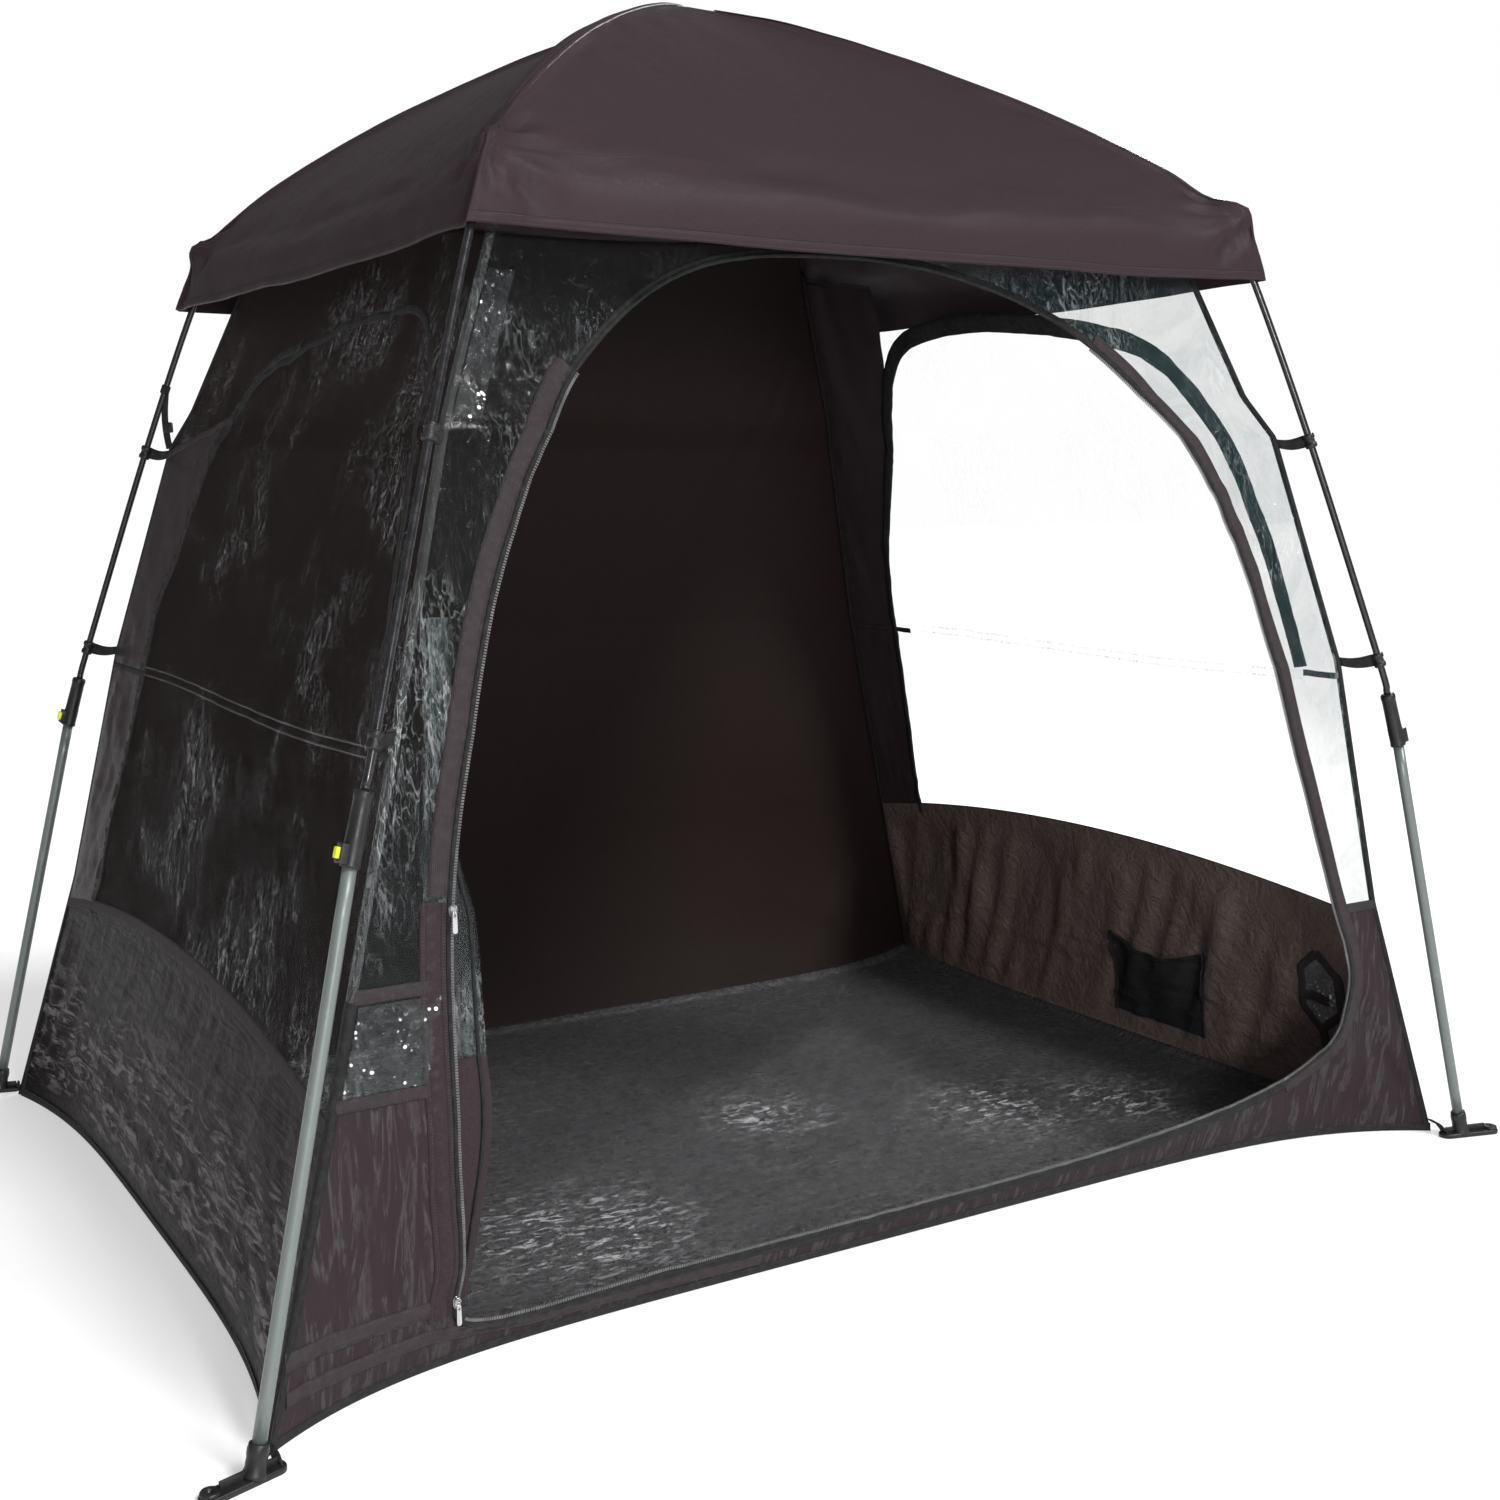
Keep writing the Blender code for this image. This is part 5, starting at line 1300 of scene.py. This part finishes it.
def corner_tape(name, corner, low, high, half, mat, lift=0.0016, **more):
    """A tape folded round a corner of the walls."""
    sx, sy = CORNERS[corner]
    face, side = "front" if sy < 0 else "back", "left" if sx < 0 else "right"
    z = np.linspace(low, high, max(8, int((high - low) / 0.012)))
    rows = []
    for offset, rise in ((half, 0.0002), (half, lift), (half * 0.5, lift * 1.2), (0.0015, lift * 1.5)):
        rows.append(skin(face, sx * (half_span(face, z) - offset), z, rise))
    for offset, rise in ((0.0, lift * 1.5), (half * 0.5, lift * 1.2), (half, lift), (half, 0.0002)):
        rows.append(skin(side, sy * (half_span(side, z) - offset), z, rise))
    return grid_piece(name, np.stack(rows), mat, **more)


def make_sparkles():
    """Crumpled clear patches with painted glints in the front-left corner, low by the pocket and high by the strap."""
    for name, near, far, z0, z1 in (("low", 0.012, 0.128, 0.436, 0.553), ("high", 0.010, 0.052, 1.310, 1.520)):
        v = np.linspace(0, 1, 60)[:, None]
        u = np.linspace(0, 1, 40)[None, :]
        z = z0 + (z1 - z0) * v + 0 * u
        s = -half_width(z) + near + (far - near) * u
        crumple = 0.0022 + 0.0030 * ridges(s * 70, z * 55, 13)
        obj = grid_piece("crumpled_film_" + name, skin("front", s, z, crumple), "spark", slot="clear_film")
        sheet(obj)


def make_long_strap():
    """The back-left wall's adjusting strap, from higher up the rod down to the wall's corner."""
    at, along = rod_at(1.415)
    sign = np.array([-1, 1, 1.0])
    at, along = at * sign, unit(along * sign)
    verts, faces = lathe_data([(0.0064, -0.009), (0.0086, -0.008), (0.0086, 0.008), (0.0064, 0.009)], at, along, 24)
    piece("long_strap_loop", verts, faces, "webbing", slot="black_webbing")
    target = np.array([-float(half_width(1.300)), float(half_depth(1.300)), 1.300])
    start = at + unit(target - at) * 0.008
    across = unit(np.cross(target - start, (0.6, 0.5, 0.0)))
    rows = []
    for f in np.linspace(0, 1, 14):
        middle = start + (target - start) * f + np.array([-0.004, 0.004, 0.0]) * math.sin(math.pi * f)
        rows.append([middle + across * 0.007 * k for k in np.linspace(-1, 1, 4)])
    grid_piece("long_strap", np.array(rows), "webbing", slot="black_webbing", thickness=0.0022)
    lean = unit(target - start)
    verts, faces = box_data(start + (target - start) * 0.62, (across, np.cross(lean, across), lean),
                            (0.018, 0.009, 0.020), 0.002)
    piece("strap_buckle", verts, faces, "black", slot="black_plastic")


def make_bindings():
    """Tapes on the walls' corners and along the front and back hems."""
    for corner in CORNERS:
        if corner == "front_left":
            corner_tape("corner_binding_" + corner, corner, 0.004, 0.560, 0.011, "webbing", slot="black_webbing")
            corner_tape("corner_weld_" + corner, corner, 0.560, 1.690, 0.008, "weld", slot="clear_film")
        else:
            corner_tape("corner_binding_" + corner, corner, 0.004, 1.690, 0.010, "webbing", slot="black_webbing")
    for side in ("front", "back"):
        reach = float(half_span(side, 0.0)) - 0.002
        hem = [(s, 0.0085) for s in np.linspace(-reach, reach, 120)]
        wall_ribbon(side + "_hem_band", side, hem, 0.014, "webbing", slot="black_webbing")
    wide = float(half_span("front", 0.1)) - 0.004
    left = float(half_span("front", 0.43)) - 0.004
    right = float(half_span("front", 0.45)) - 0.004
    lines = {
        "sill_band_high": ([(-wide, 0.112), (-0.865, 0.104)], 0.026),
        "sill_band_low": ([(-wide, 0.060), (-0.860, 0.058), (-0.700, 0.036), (-0.300, 0.030)], 0.022),
        "left_top_band": ([(-left, 0.425), (-0.868, 0.425)], 0.018),
        "pocket_band": ([(-float(half_span("front", 0.565)) + 0.004, 0.565), (-0.862, 0.565)], 0.020),
        "right_top_band": ([(0.905, 0.447), (right, 0.447)], 0.018),
    }
    threads = []
    for name, (path, width) in lines.items():
        wall_ribbon(name, "front", path, width, "tape", lift=0.0018, slot="wall_cloth")
        for shift in (-width / 2 + 0.003, width / 2 - 0.003):
            threads.append(wall_stitches("front", path, shift=shift, lift=0.0030))
    back_reach = float(half_span("back", 0.06)) - 0.01
    threads.append(wall_stitches("back", [(-back_reach, 0.024), (back_reach, 0.024)], lift=0.0008))
    verts, faces = joined(threads)
    piece("front_stitches", verts, faces, "thread", slot="wall_cloth", smooth=False)


def make_door():
    """The doorway's edge: a bound cord, a zip tape with its teeth, and the gathered lower jamb."""
    loop = door_points(0.007)
    n = len(loop)
    cord = ribbon_rows("front", loop, [0.001], [0.0010], cyclic=True)[0][:-1]
    tube("door_cord", cord, 0.0036, "webbing", sides=10, cyclic=True, slot="black_webbing",
         replaces=("door_trim",))

    def between(test):
        on = np.array([bool(test(s, z)) for s, z in loop])
        start = next(i for i in range(n) if on[i] and not on[i - 1])
        return loop[[(start + k) % n for k in range(int(on.sum()))]]

    jamb = between(lambda s, z: s < -0.5 and 0.68 < z < 1.385)
    gathered = between(lambda s, z: s < -0.79 and 0.085 < z <= 0.68)
    arch = between(lambda s, z: z > 1.36)
    far = between(lambda s, z: (s > 0.40 and z > 0.13 and z <= 1.46))
    sill = between(lambda s, z: z <= 0.135 and s > -0.81)
    threads = []

    def band(name, line, near, wide, mat, lift=0.0018, stitch=True, slot="wall_cloth"):
        offsets = [near, near, near + wide * 0.25, near + wide * 0.5, near + wide * 0.75, near + wide, near + wide]
        rise = lift * 1.25
        grid_piece(name, ribbon_rows("front", line, offsets, [0.0002, lift, rise, rise, rise, lift, 0.0002]), mat,
                   slot=slot)
        if stitch:
            for at in (near + 0.0035, near + wide - 0.0035):
                row = ribbon_rows("front", line, [at], [lift * 1.3 + 0.0004])[0]
                threads.append(stitch_data(row, wall_normal("front", line[:, 0], np.maximum(line[:, 1], 0.01))))

    band("door_jamb_band", jamb, 0.004, 0.028, "tape")
    band("door_arch_band", arch, 0.001, 0.010, "webbing", stitch=False, slot="black_webbing")
    band("door_far_band", far, 0.004, 0.024, "tape")
    band("door_sill_band", sill, 0.003, 0.014, "webbing", stitch=False, slot="black_webbing")
    band("gather_inner", gathered, 0.003, 0.009, "cloth")
    band("gather_outer", gathered, 0.032, 0.009, "cloth")
    fine = resample(gathered, 0.0022)
    run = np.arange(len(fine)) * 0.0022
    offsets = np.linspace(0.011, 0.033, 9)
    lifts = []
    for k, f in enumerate(np.linspace(0, 1, 9)):
        puff = math.sin(math.pi * f)
        lifts.append(0.0014 + puff * (0.0022 + 0.0022 * noise(run * 105 + f * 1.1, run * 12 + f * 1.6, 8)))
    grid_piece("gather_ruffle", ribbon_rows("front", fine, offsets, lifts), "cloth", slot="wall_cloth")
    for name, line in (("near", between(lambda s, z: s < -0.3 and z < 1.385 and z > 0.09)), ("far", far),
                       ("sill", sill)):
        row = ribbon_rows("front", line, [-0.0045], [0.0008])[0]
        row = resample(row, 0.0040)
        t = tangents(row)
        up = np.broadcast_to(np.array([0.0, -1.0, 0.0]), t.shape)
        across = unit(np.cross(t, up))
        parts = []
        axes = np.stack([t, across, np.cross(t, across)], 1)
        for at, frame_axes in zip(row, axes):
            parts.append(box_cheap(at, frame_axes, (0.0024, 0.0044, 0.0026)))
        verts, faces = joined(parts)
        piece("zip_teeth_" + name, verts, faces, "teeth", slot="zip_metal", smooth=False)
    verts, faces = joined(threads)
    piece("door_stitches", verts, faces, "thread", slot="wall_cloth", smooth=False)


CUBE = np.array([(x, y, z) for x in (-0.5, 0.5) for y in (-0.5, 0.5) for z in (-0.5, 0.5)])
CUBE_FACES = [(0, 1, 3, 2), (4, 6, 7, 5), (0, 4, 5, 1), (2, 3, 7, 6), (0, 2, 6, 4), (1, 5, 7, 3)]


def box_cheap(at, axes, size):
    return (CUBE * size) @ np.array(axes) + at, [list(f) for f in CUBE_FACES]


def make_flap():
    """The unzipped door, gathered in folds inside the left jamb: cloth below, clear film above."""
    rows, cols, layers = 120, 76, 5
    v = np.linspace(0, 1, rows)[:, None]
    u = np.linspace(0, 1, cols)[None, :]
    z = 0.080 + (1.050 - 0.080) * v + 0 * u
    belly = 0.020 * np.sin(math.pi * np.clip(v / 0.62, 0, 1))
    x0 = -0.895 + 0.060 * v + 0.004 * noise(v * 9, v * 0, 2)
    x1 = -0.805 + 0.030 * v + belly + 0.004 * noise(v * 7, v * 0 + 3, 2) - 0.022 * smoothstep(0.58, 0.70, v)
    phase = u * layers
    fold = np.abs((phase + 1) % 2 - 1)
    shrink = 1 - 0.10 * np.floor(phase) / layers
    x = x1 + (x0 - x1) * fold * shrink
    depth = 0.0100 + 0.0042 * phase + 0.0022 * np.sin(fold * math.pi)
    depth = depth + 0.0020 * noise(x * 55 + phase * 3, z * 5, 6) + 0.0012 * noise(x * 160 + phase, z * 11, 7)
    base = wall_base("front", x, z)
    points = base + np.stack([x * 0, depth, x * 0], -1)
    flap = grid_piece("folded_door", points, "cloth", slot="wall_cloth", replaces=("door_flap",))
    flap.data.materials.append(M["film_front"])
    for poly in flap.data.polygons:
        if poly.center.z > 0.455:
            poly.material_index = 1
    sheet(flap, flat=unfolded(points, points.transpose(1, 0, 2)))
    edge = points[:, 2]
    tube("folded_door_edge", edge[::2] + np.array([0.001, -0.001, 0]), 0.0028, "webbing", sides=8,
         slot="black_webbing")


def make_zips():
    """Cast sliders, each with a bridge, and a pull that swings from it."""
    for name in ("high", "low"):
        low_at, high_at = (np.array(v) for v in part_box("zip_slider_" + name))
        middle = (low_at + high_at) / 2
        low_p, high_p = (np.array(v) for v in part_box("zip_pull_" + name))
        z = float(middle[2])
        along = unit(wall_base("front", middle[0], z + 0.01) - wall_base("front", middle[0], z - 0.01))
        across = unit(np.cross(along, (0, 1, 0)) * -1)
        out = np.cross(across, along)
        out = out * np.sign(out @ np.array([0, -1, 0]))
        back = np.array([middle[0], high_at[1], z])
        parts = []
        shape = [(-0.0082, 0.0030), (-0.0060, 0.0042), (0.0005, 0.0050), (0.0052, 0.0050), (0.0080, 0.0036)]
        for depth_at, thick in ((0.0012, 0.0018), (0.0056, 0.0018)):
            loops = []
            for dz, half in shape:
                loops.append([(dz, -half), (dz, half)])
            outline = [p[0] for p in loops] + [p[1] for p in reversed(loops)]
            lower = [back + out * depth_at + along * a + across * b for a, b in outline]
            upper = [p + out * thick for p in lower]
            k = len(outline)
            faces = [list(range(k)), list(range(2 * k - 1, k - 1, -1))]
            faces += [[i, (i + 1) % k, k + (i + 1) % k, k + i] for i in range(k)]
            parts.append((np.array(lower + upper), faces))
        parts.append(box_data(back + out * 0.0040 + along * 0.005, (across, along, out), (0.0030, 0.0040, 0.0050)))
        pin = (low_p + high_p) / 2
        pin[2] = high_p[2] - 0.0008
        arc = [back + out * 0.0068 + along * 0.0060, back + out * 0.0098 + along * 0.0050,
               back + out * 0.0112 + along * 0.0020, back + out * 0.0116 - along * 0.0022,
               back + out * 0.0098 - along * 0.0038, back + out * 0.0068 - along * 0.0042]
        parts.append(tube_data(catmull(arc, 5), 0.0009, 10))
        verts, faces = joined(parts)
        piece("slider_" + name, verts, faces, "zip", slot="zip_metal", replaces=("zip_slider_" + name,))
        make_pull(name, low_p, high_p)


def make_pull(name, low, high):
    """A stamped pull: a rounded tab with an eye at its head and a hole at its foot."""
    middle = (low + high) / 2
    half, length = 0.0037, high[2] - low[2]
    outline = []
    for a in np.linspace(0, 2 * math.pi, 49)[:-1]:
        x, z = half * math.copysign(abs(math.cos(a)) ** 0.55, math.cos(a)), length / 2 * math.copysign(
            abs(math.sin(a)) ** 0.30, math.sin(a))
        outline.append((x * (0.80 + 0.20 * (0.5 - z / length)), z))
    bm = bmesh.new()
    rings = []
    for inset, y in ((0.0006, -0.0009), (0.0, -0.0006), (0.0, 0.0006), (0.0006, 0.0009)):
        rings.append([bm.verts.new((middle[0] + x * (1 - inset / half), middle[1] + y,
                                    middle[2] + z * (1 - inset * 2 / length))) for x, z in outline])
    n = len(outline)
    for a, b in zip(rings, rings[1:]):
        for i in range(n):
            bm.faces.new((a[i], a[(i + 1) % n], b[(i + 1) % n], b[i]))
    for ring, order in ((rings[0], -1), (rings[-1], 1)):
        eye = []
        for i in range(n):
            a = 2 * math.pi * i / n
            eye.append(bm.verts.new((middle[0] + 0.0017 * math.cos(a), ring[0].co.y,
                                     middle[2] + length * 0.30 + 0.0026 * math.sin(a))))
        for i in range(n):
            quad = (ring[i], ring[(i + 1) % n], eye[(i + 1) % n], eye[i])
            bm.faces.new(quad[::order])
        rings.append(eye)
    for i in range(n):
        bm.faces.new((rings[-2][i], rings[-2][(i + 1) % n], rings[-1][(i + 1) % n], rings[-1][i]))
    bm.verts.index_update()
    verts = [tuple(v.co) for v in bm.verts]
    faces = [[v.index for v in f.verts] for f in bm.faces]
    bm.free()
    piece("pull_" + name, verts, faces, "zip", body="zip_pull_" + name, slot="zip_metal", smooth=False,
          replaces=("zip_pull_" + name,))


def make_back():
    obj = wall_patch("back_panel", "back", lambda s: s * 0, lambda s: top_z("back", s), "back", 180, 150,
                     slot="wall_cloth", thickness=0.0010, replaces=("back_wall",))
    sheet(obj)


def make_floor():
    """The woven floor, a little rumpled, cut to the walls' hem line."""
    lines = {side: wall_base(side, np.linspace(-1, 1, 121) * half_span(side, 0.0), 0.0) for side in OUT}
    cols, rows = 190, 150
    u = np.linspace(-1, 1, cols)
    front = lines["front"]
    back = lines["back"]
    v = np.linspace(0, 1, rows)[:, None]
    x_edge = np.interp(v[:, 0] * 2 - 1, np.linspace(-1, 1, 121), lines["right"][:, 0])
    x = u[None, :] * (x_edge[:, None] - 0.0015)
    y0 = np.interp(x, front[:, 0], front[:, 1]) + 0.003
    y1 = np.interp(x, back[:, 0], back[:, 1]) - 0.0015
    y = y0 + (y1 - y0) * v
    z = 0.0032 + 0.0022 * (ridges(x * 6 + y * 3, y * 8 - x * 2, 91) - 0.2) + 0.0014 * fbm(x * 14, y * 14, 95, 3)
    near_edge = np.minimum(np.minimum(v, 1 - v) * 1.5, (1 - np.abs(u[None, :])))
    z = 0.0016 + np.maximum(z - 0.0016, 0.0) * smoothstep(0.0, 0.05, near_edge)
    z = z + 0.014 * (1 - smoothstep(0.0, 0.016, near_edge)) * smoothstep(0.02, 0.10, v)
    obj = grid_piece("floor_weave", np.stack([x, y, z], -1), "floor", slot="woven_floor", thickness=0.0012,
                     replaces=("floor_sheet",))
    sheet(obj)


def main():
    make_stage()
    make_lights()
    make_camera()
    make_canopy()
    for corner in CORNERS:
        make_leg(corner)
    make_front()
    make_sides()
    make_bindings()
    make_sparkles()
    make_long_strap()
    make_door()
    make_flap()
    make_zips()
    make_back()
    make_floor()
    for node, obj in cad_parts.items():
        if obj.hide_render:
            continue
        mat = {"roof_hub": "black", "door_trim": "webbing", "door_flap": "film_front"}.get(node)
        mat = mat or ("rod" if "arm" in node else "zip" if "zip" in node else "cloth")
        obj.data.materials.clear()
        obj.data.materials.append(M[mat])


main()
